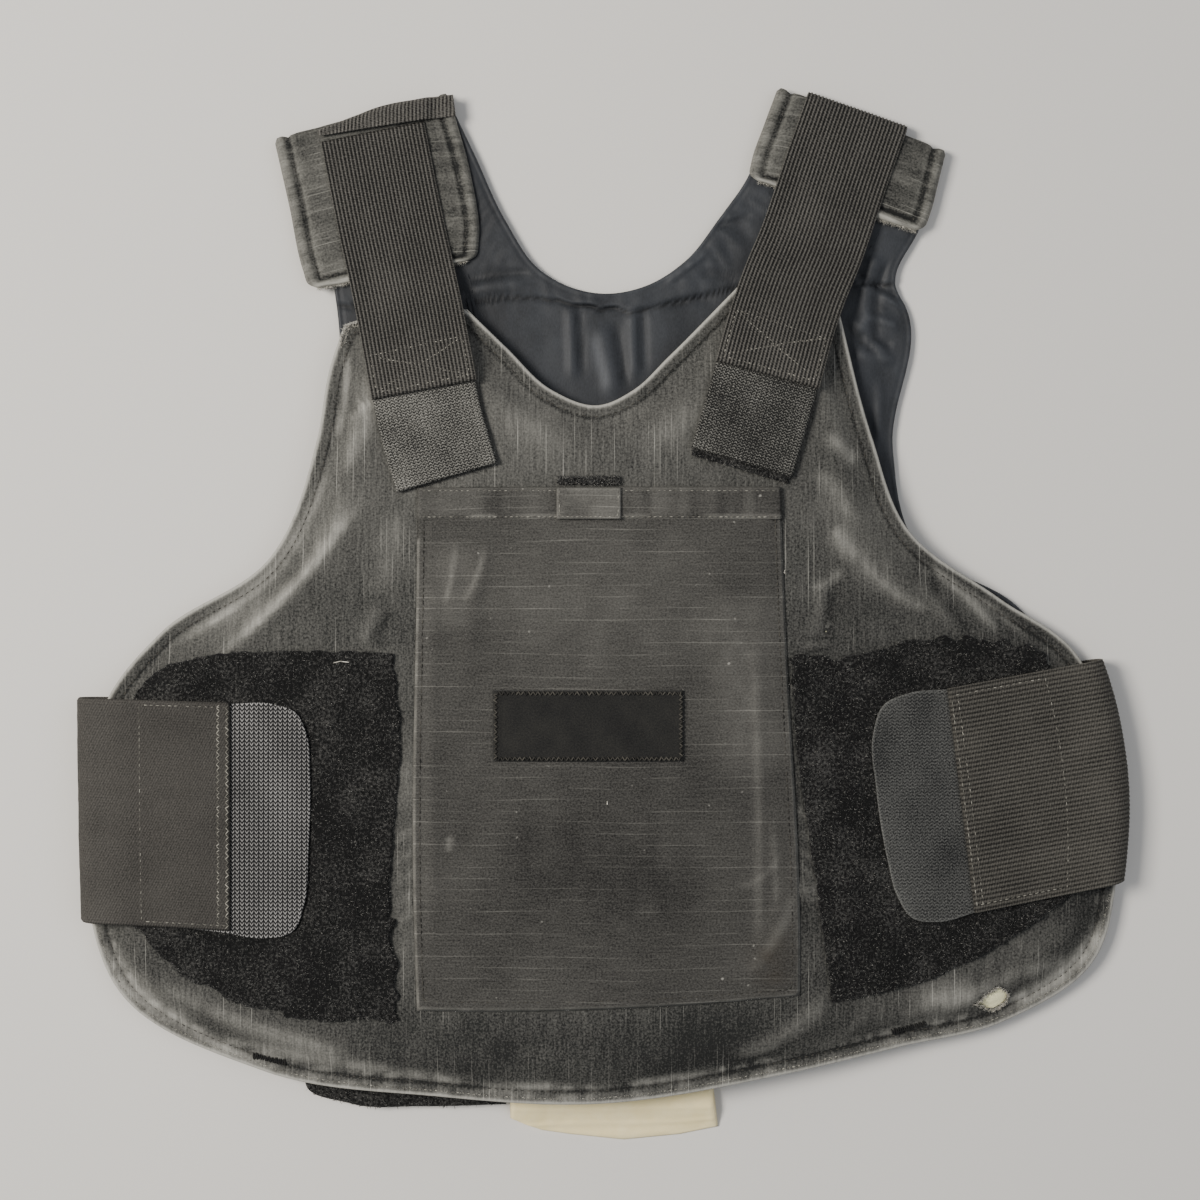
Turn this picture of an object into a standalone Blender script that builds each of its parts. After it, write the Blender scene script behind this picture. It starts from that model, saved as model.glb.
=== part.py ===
"""A soft body-armour vest, laid down on its back panel.

The back panel lies flat. The front panel lies over it as a low arch, because a worn panel keeps the
curve of the body, so the space for the torso stays open between the two. Elastic straps wrap round
both sides and come down over the shoulders, and their tabs are pressed onto fields of loop pile.

Lengths are in millimetres and become metres when a mesh is made. +X is the right of the vest as it
lies, +Y points to the shoulders, and +Z is up from the surface. The origin is the middle of the
footprint.
"""

from collections import namedtuple
import math

import bmesh
import bpy
import numpy as np
from mathutils import Vector
from mathutils.geometry import delaunay_2d_cdt

MM = 0.001

# Clearance between soft layers, and the thickness of each layer
GAP = 0.4
CARRIER_CLOTH = 1.2
POCKET_CLOTH = 1.2
HEM_THICK = 2.4
LOOP_PILE = 1.8
TAB_THICK = 1.4
STRAP_THICK = 1.6
BADGE_THICK = 1.0
LABEL_THICK = 1.0
FLAP_THICK = 3.4

# Back panel: a sewn hem, lifted a little where the straps are sewn under it, and a bevel to full thickness
BACK_THICK = 6.5
BACK_HEM = 9.0
BACK_BEVEL_END = 22.0
BACK_EDGE_LIFT = STRAP_THICK + GAP
SHOULDER_THICK = BACK_EDGE_LIFT + HEM_THICK

# Front panel: carrier, armour pack and carrier again, with a narrower hem
FRONT_THICK = 7.0
FRONT_HEM = 6.5
FRONT_BEVEL_END = 21.0
CAVITY_INSET = 8.2
PACK_INSET = 10.2
FRONT_BASE = BACK_THICK + GAP

# The arch that the front panel keeps: its rise at the belly, its half span, and how it flattens
# towards the shoulders. It is flat between the lines across and along, so layers on it nest exactly
ARCH_RISE = 14.0
ARCH_HALF = 215.0
ARCH_LINES_X = (-215, -195, -162, -128, -96, -64, -32, 0, 32, 64, 96, 128, 162, 195, 215)
ARCH_LINES_Y = (-20, 20, 60, 100, 150)
ARCH_LEFT_AT_SHOULDER = 0.4

# Heights over the front panel's full face
OVER_FRONT = GAP
OVER_PILE = OVER_FRONT + LOOP_PILE + GAP
OVER_TAB = OVER_PILE + TAB_THICK + GAP

SHOULDER_STRAP_WIDTH = 50.8
OUTLINE_STEP = 12.5
LATTICE = 34.0

Row = namedtuple("Row", "place x y turn")
Station = namedtuple("Station", "place x y rests_on lift")
Fold = namedtuple("Fold", "place x0 y0 x1 y1 half_width height")

FRONT_EDGE = (
    Row("neck, lowest point", -2, 100, "smooth"),
    Row("neck, left curve", -24, 107, "smooth"),
    Row("neck, left flank", -46, 127.5, "smooth"),
    Row("left shoulder, neck corner", -65, 146, "corner"),
    Row("left shoulder, top", -97, 147, "smooth"),
    Row("left shoulder, arm corner", -124, 139, "corner"),
    Row("left armhole, under the shoulder", -131, 118, "smooth"),
    Row("left armhole, middle", -137, 84, "smooth"),
    Row("left armhole, turn", -159, 28, "smooth"),
    Row("left armhole, foot", -213, -9, "smooth"),
    Row("left wing, top", -238, -40, "smooth"),
    Row("left wing, side", -245.8, -104, "smooth"),
    Row("left wing, lower side", -245.8, -148, "smooth"),
    Row("left wing, lower corner", -236, -176, "smooth"),
    Row("bottom, left quarter", -164, -218, "smooth"),
    Row("bottom, left of middle", -78, -229, "smooth"),
    Row("bottom, middle", -6, -232, "smooth"),
    Row("bottom, right of middle", 84, -219, "smooth"),
    Row("bottom, at the label's right", 142, -206.5, "smooth"),
    Row("bottom, right quarter", 193, -195, "smooth"),
    Row("right wing, lower corner", 238, -163, "smooth"),
    Row("right wing, lower side", 246, -133, "smooth"),
    Row("right wing, side", 244, -84, "smooth"),
    Row("right wing, top", 226, -17, "smooth"),
    Row("right armhole, foot", 190, 8, "smooth"),
    Row("right armhole, turn", 145, 42, "smooth"),
    Row("right armhole, middle", 129, 84, "smooth"),
    Row("right shoulder, arm corner", 112.5, 147.5, "corner"),
    Row("right shoulder, top", 88, 158, "smooth"),
    Row("right shoulder, neck corner", 64, 156.5, "corner"),
    Row("neck, right flank", 31, 123, "smooth"),
    Row("neck, right curve", 14, 107, "smooth"),
)

BACK_EDGE = (
    Row("neck, lowest point", 0, 155, "smooth"),
    Row("neck, left curve", -30, 166, "smooth"),
    Row("neck, left flank", -47, 190, "smooth"),
    Row("left shoulder, neck side", -62, 222, "smooth"),
    Row("left shoulder, top neck corner", -74, 247.0, "corner"),
    Row("left shoulder, top arm corner", -150, 227.0, "corner"),
    Row("left shoulder, arm side", -130, 158, "smooth"),
    Row("left armhole, upper", -127, 125, "smooth"),
    Row("left armhole, turn", -152, 32, "smooth"),
    Row("left armhole, foot", -205, -8, "smooth"),
    Row("left wing, top", -232, -45, "smooth"),
    Row("left wing, side", -239, -104, "smooth"),
    Row("left wing, lower corner", -226, -172, "smooth"),
    Row("bottom, left quarter", -160, -212, "smooth"),
    Row("bottom, middle", -4, -232, "smooth"),
    Row("bottom, right quarter", 160, -198, "smooth"),
    Row("right wing, lower corner", 226, -168, "smooth"),
    Row("right wing, side", 239, -104, "smooth"),
    Row("right wing, top", 225, -26, "smooth"),
    Row("right armhole, foot", 200, 4, "smooth"),
    Row("right armhole, turn", 150, 36, "smooth"),
    Row("right armhole, middle", 140, 80, "smooth"),
    Row("right shoulder, gathered bump", 146.5, 148, "smooth"),
    Row("right shoulder, notch", 141.5, 158, "smooth"),
    Row("right shoulder, arm side", 153, 187, "smooth"),
    Row("right shoulder, top arm corner", 162, 219.0, "corner"),
    Row("right shoulder, top neck corner", 84, 249.0, "corner"),
    Row("right shoulder, neck side", 68, 208, "smooth"),
    Row("neck, right step", 57, 192.5, "corner"),
    Row("neck, right flank", 40, 171, "smooth"),
    Row("neck, right curve", 20, 158.5, "smooth"),
)

POCKET_EDGE = (
    Row("mouth, left", -88, 60, "corner"),
    Row("side, left", -89, -60, "smooth"),
    Row("foot, left", -88, -187, "corner"),
    Row("foot, middle", -1, -186, "smooth"),
    Row("foot, right of middle", 64, -181.5, "smooth"),
    Row("foot, right", 93, -180, "corner"),
    Row("side, right", 88, -40, "smooth"),
    Row("mouth, right", 84, 60.5, "corner"),
)
POCKET_HEM_DEPTH = 16.0
POCKET_TAB = (-22.0, 45.0, 8.5, 60.0)
POCKET_FASTENER = (-21.5, 61.5, 8.0, 65.5)
BADGE = (-52.0, -69.0, 38.0, -35.5)

LEFT_FIELD = (
    Row("outer, at the strap", -229, -46, "corner"),
    Row("top, near the hem", -214, -27, "smooth"),
    Row("top, outer", -190, -20, "smooth"),
    Row("top, middle", -140, -17, "smooth"),
    Row("inner, top", -99.5, -18, "corner"),
    Row("inner, upper", -96, -58, "smooth"),
    Row("inner, middle", -100, -110, "smooth"),
    Row("inner, bottom", -98, -192, "corner"),
    Row("bottom, inner", -143, -191.5, "smooth"),
    Row("bottom, outer", -192, -176, "smooth"),
    Row("outer, bottom", -227, -148, "corner"),
)
RIGHT_FIELD = (
    Row("inner, top", 89, -21, "corner"),
    Row("inner, upper", 91, -60, "smooth"),
    Row("inner, middle", 100.5, -126, "smooth"),
    Row("inner, bottom", 108.5, -184, "corner"),
    Row("bottom, inner", 160, -171.5, "smooth"),
    Row("bottom, outer", 200, -151, "smooth"),
    Row("outer, bottom", 226, -132, "corner"),
    Row("outer, at the strap", 228, -50, "corner"),
    Row("top, near the hem", 211, -18, "corner"),
    Row("top, worn edge", 189, -12, "smooth"),
    Row("top, middle", 145, -12.5, "smooth"),
    Row("top, inner", 115, -19, "smooth"),
)

LEFT_SIDE_TAB = (
    Row("sewn end, top", -224, -43, "corner"),
    Row("sewn end, bottom", -224, -147, "corner"),
    Row("bottom edge", -180, -151.2, "smooth"),
    Row("bottom edge, by the corner", -161, -153.6, "smooth"),
    Row("lower corner", -147, -150, "smooth"),
    Row("lower corner, end", -141.5, -137, "smooth"),
    Row("free end, lower", -139.5, -112, "smooth"),
    Row("free end, upper", -138.8, -74, "smooth"),
    Row("upper corner, end", -140.2, -57, "smooth"),
    Row("upper corner", -145.5, -46.5, "smooth"),
    Row("top edge, by the corner", -157, -42.2, "smooth"),
    Row("top edge", -176, -42.2, "smooth"),
)
RIGHT_SIDE_TAB = (
    Row("sewn end, bottom", 217, -130, "corner"),
    Row("sewn end, top", 209, -30, "corner"),
    Row("top edge", 164, -35.2, "smooth"),
    Row("top edge, by the corner", 145, -37, "smooth"),
    Row("upper corner", 132.5, -42.8, "smooth"),
    Row("upper corner, end", 127.6, -56, "smooth"),
    Row("free end, upper", 129, -82, "smooth"),
    Row("free end, lower", 134.5, -116, "smooth"),
    Row("lower corner, end", 139.5, -134, "smooth"),
    Row("lower corner", 146.5, -143.8, "smooth"),
    Row("bottom edge, by the corner", 159, -145.8, "smooth"),
    Row("bottom edge", 177, -141.5, "smooth"),
)

# Side straps: the end over the tab, the outermost line of the fold, and the end sewn under the back
# panel's hem, each from its upper to its lower corner
SideStrap = namedtuple("SideStrap", "end fold sewn bulge")
LEFT_SIDE_STRAP = SideStrap(
    end=((-176.8, -41.6), (-176.8, -150.0)),
    fold=((-252.2, -39.6), (-250.4, -146.7)),
    sewn=((-228.0, -40.0), (-232.5, -145.0)),
    bulge=0.4,
)
RIGHT_SIDE_STRAP = SideStrap(
    end=((162.9, -34.9), (176.2, -141.7)),
    fold=((239.5, -21.0), (249.8, -127.5)),
    sewn=((223.0, -26.0), (233.5, -129.0)),
    bulge=6.9,
)
SIDE_FOLD_STEPS = 10

# Shoulder flaps: the ends of the back panel, folded forward over the shoulder. A section runs from
# the arm side to the neck side
Section = namedtuple("Section", "place arm_x arm_y neck_x neck_y")
LEFT_FLAP = (
    Section("free end", -137, 157.0, -66, 169.8),
    Section("rounded corners", -142.2, 159.3, -61, 173.0),
    Section("past the corners", -144.3, 165.0, -60, 179.0),
    Section("middle", -151, 196.0, -63.5, 211.0),
    Section("fold, start", -157.6, 225.2, -73.6, 247.6),
)
RIGHT_FLAP = (
    Section("free end", 150, 184.6, 75, 208.3),
    Section("rounded corners", 155, 187.0, 70.6, 212.2),
    Section("past the corners", 157, 191.5, 71.3, 217.5),
    Section("middle", 161.2, 207.0, 77.2, 235.0),
    Section("fold, start", 164.3, 219.6, 83.0, 250.6),
)
FLAP_FOLD_RADIUS = 2.2
FLAP_FOLD_FOOT = 2.3

# The right strap's way round the rolled end of its flap, and how far it is tucked under the hem
WRAP_RADIUS = 5.1
WRAP_FOOT_RADIUS = 1.2
WRAP_TUCK = 12.0

LEFT_STRAP_LINE = (
    Station("folded end", -110.8, 232.0, "flap", 0),
    Station("flap, middle", -101.0, 183.0, "flap", 0),
    Station("flap, free end", -97.2, 166.0, "flap", 0),
    Station("front, top edge", -92.8, 147.0, "level", 14.4),
    Station("front, past the bevel", -89.2, 129.5, "front", 0.7),
    Station("over the tab's sewn end", -86.9, 118.5, "front", OVER_TAB),
    Station("end", -84.6, 106.2, "front", OVER_TAB),
)
LEFT_TAB_LINE = (
    Station("sewn end", -86.8, 117.0, "front", OVER_PILE),
    Station("middle", -82.0, 93.0, "front", OVER_PILE),
    Station("free end", -73.8, 64.7, "front", OVER_PILE),
)
LEFT_SHOULDER_PILE = (
    Station("upper edge", -86.6, 116.5, "front", OVER_FRONT),
    Station("middle", -81.8, 92.0, "front", OVER_FRONT),
    Station("lower edge", -74.2, 67.0, "front", OVER_FRONT),
)
RIGHT_STRAP_LINE = (
    Station("fold, start", 121.0, 238.2, "flap", 0),
    Station("flap, middle", 111.4, 211.0, "flap", 0),
    Station("flap, free end", 107.4, 199.0, "flap", 0),
    Station("between flap and front", 99.5, 176.4, "level", 11.3),
    Station("front, top edge", 91.5, 157.5, "level", 14.6),
    Station("front, past the bevel", 84.4, 137.0, "front", 0.7),
    Station("over the tab's sewn end", 81.0, 125.5, "front", OVER_TAB),
    Station("end", 77.7, 113.3, "front", OVER_TAB),
)
RIGHT_TAB_LINE = (
    Station("sewn end", 80.6, 124.0, "front", OVER_PILE),
    Station("middle", 74.4, 102.0, "front", OVER_PILE),
    Station("free end", 65.6, 72.0, "front", OVER_PILE),
)
RIGHT_SHOULDER_PILE = (
    Station("upper edge", 80.4, 123.0, "front", OVER_FRONT),
    Station("middle", 74.2, 101.0, "front", OVER_FRONT),
    Station("lower edge", 64.7, 68.8, "front", OVER_FRONT),
)

CARE_LABEL = (
    Row("sewn end, left", -45, -224, "corner"),
    Row("left side, foot", -44.8, -243.5, "corner"),
    Row("torn corner", -38.2, -246.4, "corner"),
    Row("free edge, left", -16, -251.6, "smooth"),
    Row("free edge, lowest", 10, -254.3, "smooth"),
    Row("free edge, right", 37, -251.6, "smooth"),
    Row("corner, right", 55.6, -247.7, "corner"),
    Row("sewn end, right", 52.5, -222, "corner"),
)
# Height of the label's underside by distance along Y: over the back panel's hem, then down to the surface
LABEL_DROP = ((-255.0, 0.0), (-247.0, 0.4), (-238.0, 4.9), (-222.0, 4.9))

CLOSURE_STRIP = (
    Row("upper, left", -140, -216, "corner"),
    Row("worn end", -143.5, -225, "smooth"),
    Row("lower, left", -122, -235.6, "smooth"),
    Row("lower, middle", -88, -237, "smooth"),
    Row("lower, right", -46.6, -236, "corner"),
    Row("upper, right", -46.6, -224, "corner"),
)

TEAR = (
    Row("left tip", 177.5, -182.0, "corner"),
    Row("upper left", 181.5, -178.2, "smooth"),
    Row("top", 188.0, -175.5, "smooth"),
    Row("right", 191.4, -180.0, "smooth"),
    Row("foot", 186.5, -186.2, "smooth"),
)
TEAR_STEP = 4.0

FRONT_FOLDS = (
    Fold("left shoulder ridge", -121, 60, -148, -8, 13, 1.5),
    Fold("left armhole ridge", -150, 12, -186, -12, 10, 1.2),
    Fold("right armhole pull", 150, 16, 172, -6, 9, 1.4),
    Fold("right shoulder ridge", 108, 70, 112, 20, 12, 1.3),
    Fold("sag under the right field", 104, -198, 66, -208, 9, 1.5),
    Fold("lower left ridge", -176, -194, -128, -207, 9, 1.2),
)
BACK_FOLDS = (
    Fold("left neck pleat", -18, 150, -17, 124, 5, 1.4),
    Fold("middle neck pleat", 1, 138, 4, 104, 6, 1.3),
    Fold("right neck pleat", 20, 146, 15, 112, 6, 1.5),
    Fold("left neck gather", -68, 152, -34, 156, 6, 1.6),
    Fold("right shoulder pucker", 126, 140, 141, 132, 6, 1.6),
)

MATERIALS = {
    "faded_carrier_cloth": ((0.075, 0.078, 0.072), 0.82),
    "pocket_ripstop": ((0.055, 0.050, 0.047), 0.85),
    "navy_lining": ((0.024, 0.029, 0.040), 0.62),
    "elastic_webbing": ((0.040, 0.036, 0.032), 0.88),
    "hook_tape": ((0.050, 0.050, 0.050), 0.75),
    "loop_pile": ((0.010, 0.010, 0.010), 1.0),
    "label_cloth": ((0.72, 0.68, 0.56), 0.6),
    "badge_cloth": ((0.014, 0.014, 0.015), 0.9),
    "armour_pack": ((0.74, 0.70, 0.60), 0.55),
}


def clear_scene():
    """Removes whatever the file held before."""
    for old in list(bpy.data.objects):
        bpy.data.objects.remove(old)


def material(name):
    """The named Principled material, made once."""
    found = bpy.data.materials.get(name)
    if found:
        return found
    colour, roughness = MATERIALS[name]
    made = bpy.data.materials.new(name)
    made.use_nodes = True
    shader = made.node_tree.nodes["Principled BSDF"]
    shader.inputs["Base Color"].default_value = (*colour, 1.0)
    shader.inputs["Roughness"].default_value = roughness
    shader.inputs["Metallic"].default_value = 0.0
    return made


def ease(t):
    """0 below 0, 1 above 1, and a smooth step between."""
    t = np.clip(t, 0.0, 1.0)
    return t * t * (3 - 2 * t)


def outline(rows, step=OUTLINE_STEP):
    """A closed curve through the rows: cubic pieces, with one direction at smooth rows and two at corners."""
    points = np.array([(row.x, row.y) for row in rows], float)
    after = np.roll(points, -1, axis=0) - points
    length = np.linalg.norm(after, axis=1)
    unit = after / length[:, None]
    before, before_length = np.roll(unit, 1, axis=0), np.roll(length, 1)
    tangent = unit * before_length[:, None] + before * length[:, None]
    tangent /= np.linalg.norm(tangent, axis=1)[:, None]
    pieces = []
    for i, row in enumerate(rows):
        j = (i + 1) % len(rows)
        leaving = unit[i] if row.turn == "corner" else tangent[i]
        arriving = unit[i] if rows[j].turn == "corner" else tangent[j]
        count = max(1, round(length[i] / step))
        t = (np.arange(count) / count)[:, None]
        pieces.append(
            (2 * t**3 - 3 * t**2 + 1) * points[i]
            + (t**3 - 2 * t**2 + t) * leaving * length[i]
            + (3 * t**2 - 2 * t**3) * points[j]
            + (t**3 - t**2) * arriving * length[i]
        )
    return np.concatenate(pieces)


def rectangle(low_x, low_y, high_x, high_y):
    """The four corners of a rectangle, anticlockwise."""
    return np.array([(low_x, low_y), (high_x, low_y), (high_x, high_y), (low_x, high_y)], float)


def depth(x, y, edge):
    """Distance of each point from a closed outline."""
    point = np.stack([np.ravel(x), np.ravel(y)], axis=1)[:, None, :]
    start, end = edge[None, :, :], np.roll(edge, -1, axis=0)[None, :, :]
    along = end - start
    share = np.clip(((point - start) * along).sum(2) / (along**2).sum(2), 0, 1)
    nearest = start + along * share[:, :, None]
    return np.linalg.norm(point - nearest, axis=2).min(axis=1).reshape(np.shape(x))


def inside(points, edge):
    """Which points lie inside a closed outline, by counting crossings to the right."""
    x, y = points[:, 0, None], points[:, 1, None]
    x0, y0 = edge[None, :, 0], edge[None, :, 1]
    x1, y1 = np.roll(edge, -1, axis=0)[None, :, 0], np.roll(edge, -1, axis=0)[None, :, 1]
    crosses = (y0 > y) != (y1 > y)
    rise = np.where(crosses, y1 - y0, 1.0)
    at = x0 + (y - y0) * (x1 - x0) / rise
    return (crosses & (x < at)).sum(axis=1) % 2 == 1


def inset(edge, distance):
    """The outline moved inwards, with the loops that tight corners leave taken out."""
    ahead, behind = np.roll(edge, -1, axis=0), np.roll(edge, 1, axis=0)
    run = ahead - behind
    normal = np.stack([-run[:, 1], run[:, 0]], axis=1) / np.linalg.norm(run, axis=1)[:, None]
    area = (edge[:, 0] * ahead[:, 1] - ahead[:, 0] * edge[:, 1]).sum()
    moved = edge + normal * distance * math.copysign(1, area)
    return moved[depth(moved[:, 0], moved[:, 1], edge) > 0.97 * distance]


def fold_height(x, y, folds):
    """Height that the ridges add: each falls off in a straight line to its half width."""
    total = np.zeros(np.shape(x))
    for fold in folds:
        along = np.array([fold.x1 - fold.x0, fold.y1 - fold.y0])
        share = ((x - fold.x0) * along[0] + (y - fold.y0) * along[1]) / (along @ along)
        share = np.clip(share, 0, 1)
        away = np.hypot(x - fold.x0 - share * along[0], y - fold.y0 - share * along[1])
        ends = np.clip(np.minimum(share, 1 - share) * 5, 0, 1)
        total = np.maximum(total, fold.height * ends * np.clip(1 - away / fold.half_width, 0, 1))
    return total


def fold_creases(folds):
    """The crest of each ridge and the two lines at its feet, so that a mesh keeps them."""
    lines = []
    for fold in folds:
        start, end = np.array([fold.x0, fold.y0], float), np.array([fold.x1, fold.y1], float)
        run = (end - start) / np.linalg.norm(end - start)
        across = np.array([-run[1], run[0]]) * fold.half_width
        shares = np.linspace(0, 1, 6)[:, None]
        crest = start + shares * (end - start)
        lines += [crest, crest + across, crest - across]
    return lines


def arch(x, y):
    """Height of the front panel's arch: nothing at the sides, most at the middle, less at the shoulders."""
    lines_x, lines_y = np.array(ARCH_LINES_X, float), np.array(ARCH_LINES_Y, float)
    across = np.clip(1 - (lines_x / ARCH_HALF) ** 2, 0, 1) ** 1.5
    kept = 1 - (1 - ARCH_LEFT_AT_SHOULDER) * ease((lines_y - lines_y[0]) / np.ptp(lines_y))
    return ARCH_RISE * np.interp(x, lines_x, across) * np.interp(y, lines_y, kept)


def arch_creases():
    """The lines where the arch changes slope."""
    low_y, high_y = min(row.y for row in FRONT_EDGE) - 5, max(row.y for row in FRONT_EDGE) + 5
    high_x = max(row.x for row in FRONT_EDGE) + 5
    all_y, all_x = (low_y, *ARCH_LINES_Y, high_y), (-high_x, *ARCH_LINES_X, high_x)
    lengthwise = [np.array([(x, y) for y in all_y], float) for x in ARCH_LINES_X]
    crosswise = [np.array([(x, y) for x in all_x], float) for y in ARCH_LINES_Y]
    return lengthwise + crosswise


def front_bottom(x, y):
    return FRONT_BASE + arch(x, y)


def front_face(x, y):
    """The front panel's top as it would be without its bevel and hem."""
    return front_bottom(x, y) + FRONT_THICK


def front_top(x, y):
    share = (depth(x, y, FRONT) - FRONT_HEM) / (FRONT_BEVEL_END - FRONT_HEM)
    thick = HEM_THICK + (FRONT_THICK - HEM_THICK) * np.clip(share, 0, 1)
    return front_bottom(x, y) + thick


def back_bottom(x, y):
    share = (depth(x, y, BACK) - BACK_HEM) / (BACK_BEVEL_END - BACK_HEM)
    return BACK_EDGE_LIFT * (1 - np.clip(share, 0, 1))


def back_top(x, y):
    share = (depth(x, y, BACK) - BACK_HEM) / (BACK_BEVEL_END - BACK_HEM)
    body = BACK_THICK + (SHOULDER_THICK - BACK_THICK) * ease((np.asarray(y) - 112.0) / 40.0)
    return SHOULDER_THICK + (body - SHOULDER_THICK) * np.clip(share, 0, 1)


def plan(edge, holes=(), creases=(), lattice=LATTICE):
    """Points and triangles that fill an outline and keep every crease, and which triangles are in a hole."""
    loops = [edge, *holes]
    lines = [line for line in creases if len(line) > 1]
    points = [np.concatenate(loops)]
    segments, first = [], 0
    for loop in loops:
        count = len(loop)
        segments += [(first + i, first + (i + 1) % count) for i in range(count)]
        first += count
    for line in lines:
        points.append(line)
        segments += [(first + i, first + i + 1) for i in range(len(line) - 1)]
        first += len(line)
    kept = np.concatenate(points)
    low, high = edge.min(axis=0), edge.max(axis=0)
    rows = np.arange(low[1] + lattice / 2, high[1], lattice * math.sqrt(0.75))
    grid = [
        (x, y)
        for k, y in enumerate(rows)
        for x in np.arange(low[0] + lattice * (0.25 + 0.5 * (k % 2)), high[0], lattice)
    ]
    if grid:
        grid = np.array(grid)
        far = np.linalg.norm(grid[:, None] - kept[None], axis=2).min(axis=1) > 0.5 * lattice
        kept = np.concatenate([kept, grid[far & inside(grid, edge)]])
    found = delaunay_2d_cdt([Vector(p) for p in kept], segments, [], 0, 1e-4)
    flat = np.array([tuple(v) for v in found[0]])
    triangles = np.array(found[2], int)
    middle = flat[triangles].mean(axis=1)
    triangles = triangles[inside(middle, edge)]
    middle = flat[triangles].mean(axis=1)
    opened = np.zeros(len(triangles), bool)
    for hole in holes:
        opened |= inside(middle, hole)
    return flat, triangles, opened


def rim(triangles):
    """The directed edges of a triangle set that only one triangle has."""
    edges = {(a, b) for t in triangles for a, b in zip(t, np.roll(t, -1))}
    return [(a, b) for a, b in edges if (b, a) not in edges]


class Solid:
    """Gathers vertices and faces in millimetres, then makes one closed object of them."""

    def __init__(self):
        self.points = []
        self.faces = []

    def surface(self, flat, height, triangles, facing_up):
        """Adds a height field over a plan and returns the number of its first vertex."""
        first = len(self.points)
        heights = height(flat[:, 0], flat[:, 1])
        self.points += [(x, y, z) for (x, y), z in zip(flat, heights)]
        for a, b, c in triangles:
            ring = (a, b, c) if facing_up else (c, b, a)
            self.faces.append(tuple(first + i for i in ring))
        return first

    def wall(self, edges, upper, lower):
        """Joins the same edges of two surfaces, outwards where the upper one faces up."""
        for a, b in edges:
            self.faces.append((upper + b, upper + a, lower + a, lower + b))

    def make(self, name, material_name, smooth_angle=None):
        """Welds what meets, drops loose points and returns the object."""
        mesh = bpy.data.meshes.new(name)
        mesh.from_pydata([tuple(c * MM for c in p) for p in self.points], [], self.faces)
        shape = bmesh.new()
        shape.from_mesh(mesh)
        bmesh.ops.delete(shape, geom=[v for v in shape.verts if not v.link_faces], context="VERTS")
        bmesh.ops.triangulate(shape, faces=shape.faces[:])
        bmesh.ops.recalc_face_normals(shape, faces=shape.faces[:])
        shape.to_mesh(mesh)
        shape.free()
        mesh.materials.append(material(material_name))
        if smooth_angle:
            mesh.shade_smooth()
            mesh.set_sharp_from_angle(angle=math.radians(smooth_angle))
        made = bpy.data.objects.new(name, mesh)
        bpy.context.scene.collection.objects.link(made)
        return made


def padded_sheet(name, edge, bottom, top, material_name, creases=(), lattice=LATTICE):
    """A closed solid between two height fields over one outline."""
    flat, triangles, _ = plan(edge, creases=creases, lattice=lattice)
    solid = Solid()
    upper = solid.surface(flat, top, triangles, True)
    lower = solid.surface(flat, bottom, triangles, False)
    solid.wall(rim(triangles), upper, lower)
    return solid.make(name, material_name, smooth_angle=40)


def layer(name, edge, base, thickness, material_name, creases=(), lattice=LATTICE):
    """A sheet of even thickness whose underside follows a height field."""
    return padded_sheet(
        name, edge, base, lambda x, y: base(x, y) + thickness, material_name, creases, lattice
    )


def band(name, sections, thickness, material_name):
    """A strip of even thickness. sections[s][c] is a point of its middle surface, along and across it."""
    middle = np.asarray(sections, float)
    along = np.gradient(middle, axis=0)
    across = np.gradient(middle, axis=1)
    normal = np.cross(along, across)
    normal /= np.linalg.norm(normal, axis=2)[:, :, None]
    count, columns = middle.shape[:2]
    solid = Solid()
    for side in (0.5, -0.5):
        solid.points += [tuple(p) for p in (middle + normal * thickness * side).reshape(-1, 3)]
    index = np.arange(count * columns).reshape(count, columns)
    below = count * columns
    for s in range(count - 1):
        for c in range(columns - 1):
            a, b = index[s, c], index[s, c + 1]
            d, e = index[s + 1, c + 1], index[s + 1, c]
            solid.faces.append((a, b, d, e))
            solid.faces.append((below + e, below + d, below + b, below + a))
    border = (
        [(index[0, c + 1], index[0, c]) for c in range(columns - 1)]
        + [(index[-1, c], index[-1, c + 1]) for c in range(columns - 1)]
        + [(index[s, 0], index[s + 1, 0]) for s in range(count - 1)]
        + [(index[s + 1, -1], index[s, -1]) for s in range(count - 1)]
    )
    solid.faces += [(b, a, below + a, below + b) for a, b in border]
    return solid.make(name, material_name, smooth_angle=50)


def station_sections(stations, width, thickness, flap_top, columns=3):
    """Middle-surface sections of a strap or tab, square to its line and resting on what is under it."""
    line = np.array([(s.x, s.y) for s in stations], float)
    run = np.gradient(line, axis=0)
    run /= np.linalg.norm(run, axis=1)[:, None]
    across = np.stack([-run[:, 1], run[:, 0]], axis=1)
    sections = []
    for station, centre, side in zip(stations, line, across):
        section = []
        for share in np.linspace(-0.5, 0.5, columns):
            x, y = centre + side * width * share
            if station.rests_on == "front":
                under = float(front_face(x, y)) + station.lift
            elif station.rests_on == "flap":
                under = flap_top + GAP + station.lift
            else:
                under = station.lift
            section.append((x, y, under + thickness / 2))
        sections.append(section)
    return sections


def refine(sections, most=24.0):
    """Adds evenly spaced sections where two stand further apart than most."""
    sections = np.asarray(sections, float)
    finer = []
    for here, there in zip(sections[:-1], sections[1:]):
        count = max(1, math.ceil(np.linalg.norm(there - here, axis=1).max() / most))
        finer += [here + (there - here) * k / count for k in range(count)]
    return np.array([*finer, sections[-1]])


def lay_on_front(sections, lift, thickness):
    """Puts every section at an even lift over the front panel's face."""
    laid = np.array(sections)
    laid[..., 2] = front_face(laid[..., 0], laid[..., 1]) + lift + thickness / 2
    return laid


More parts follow.
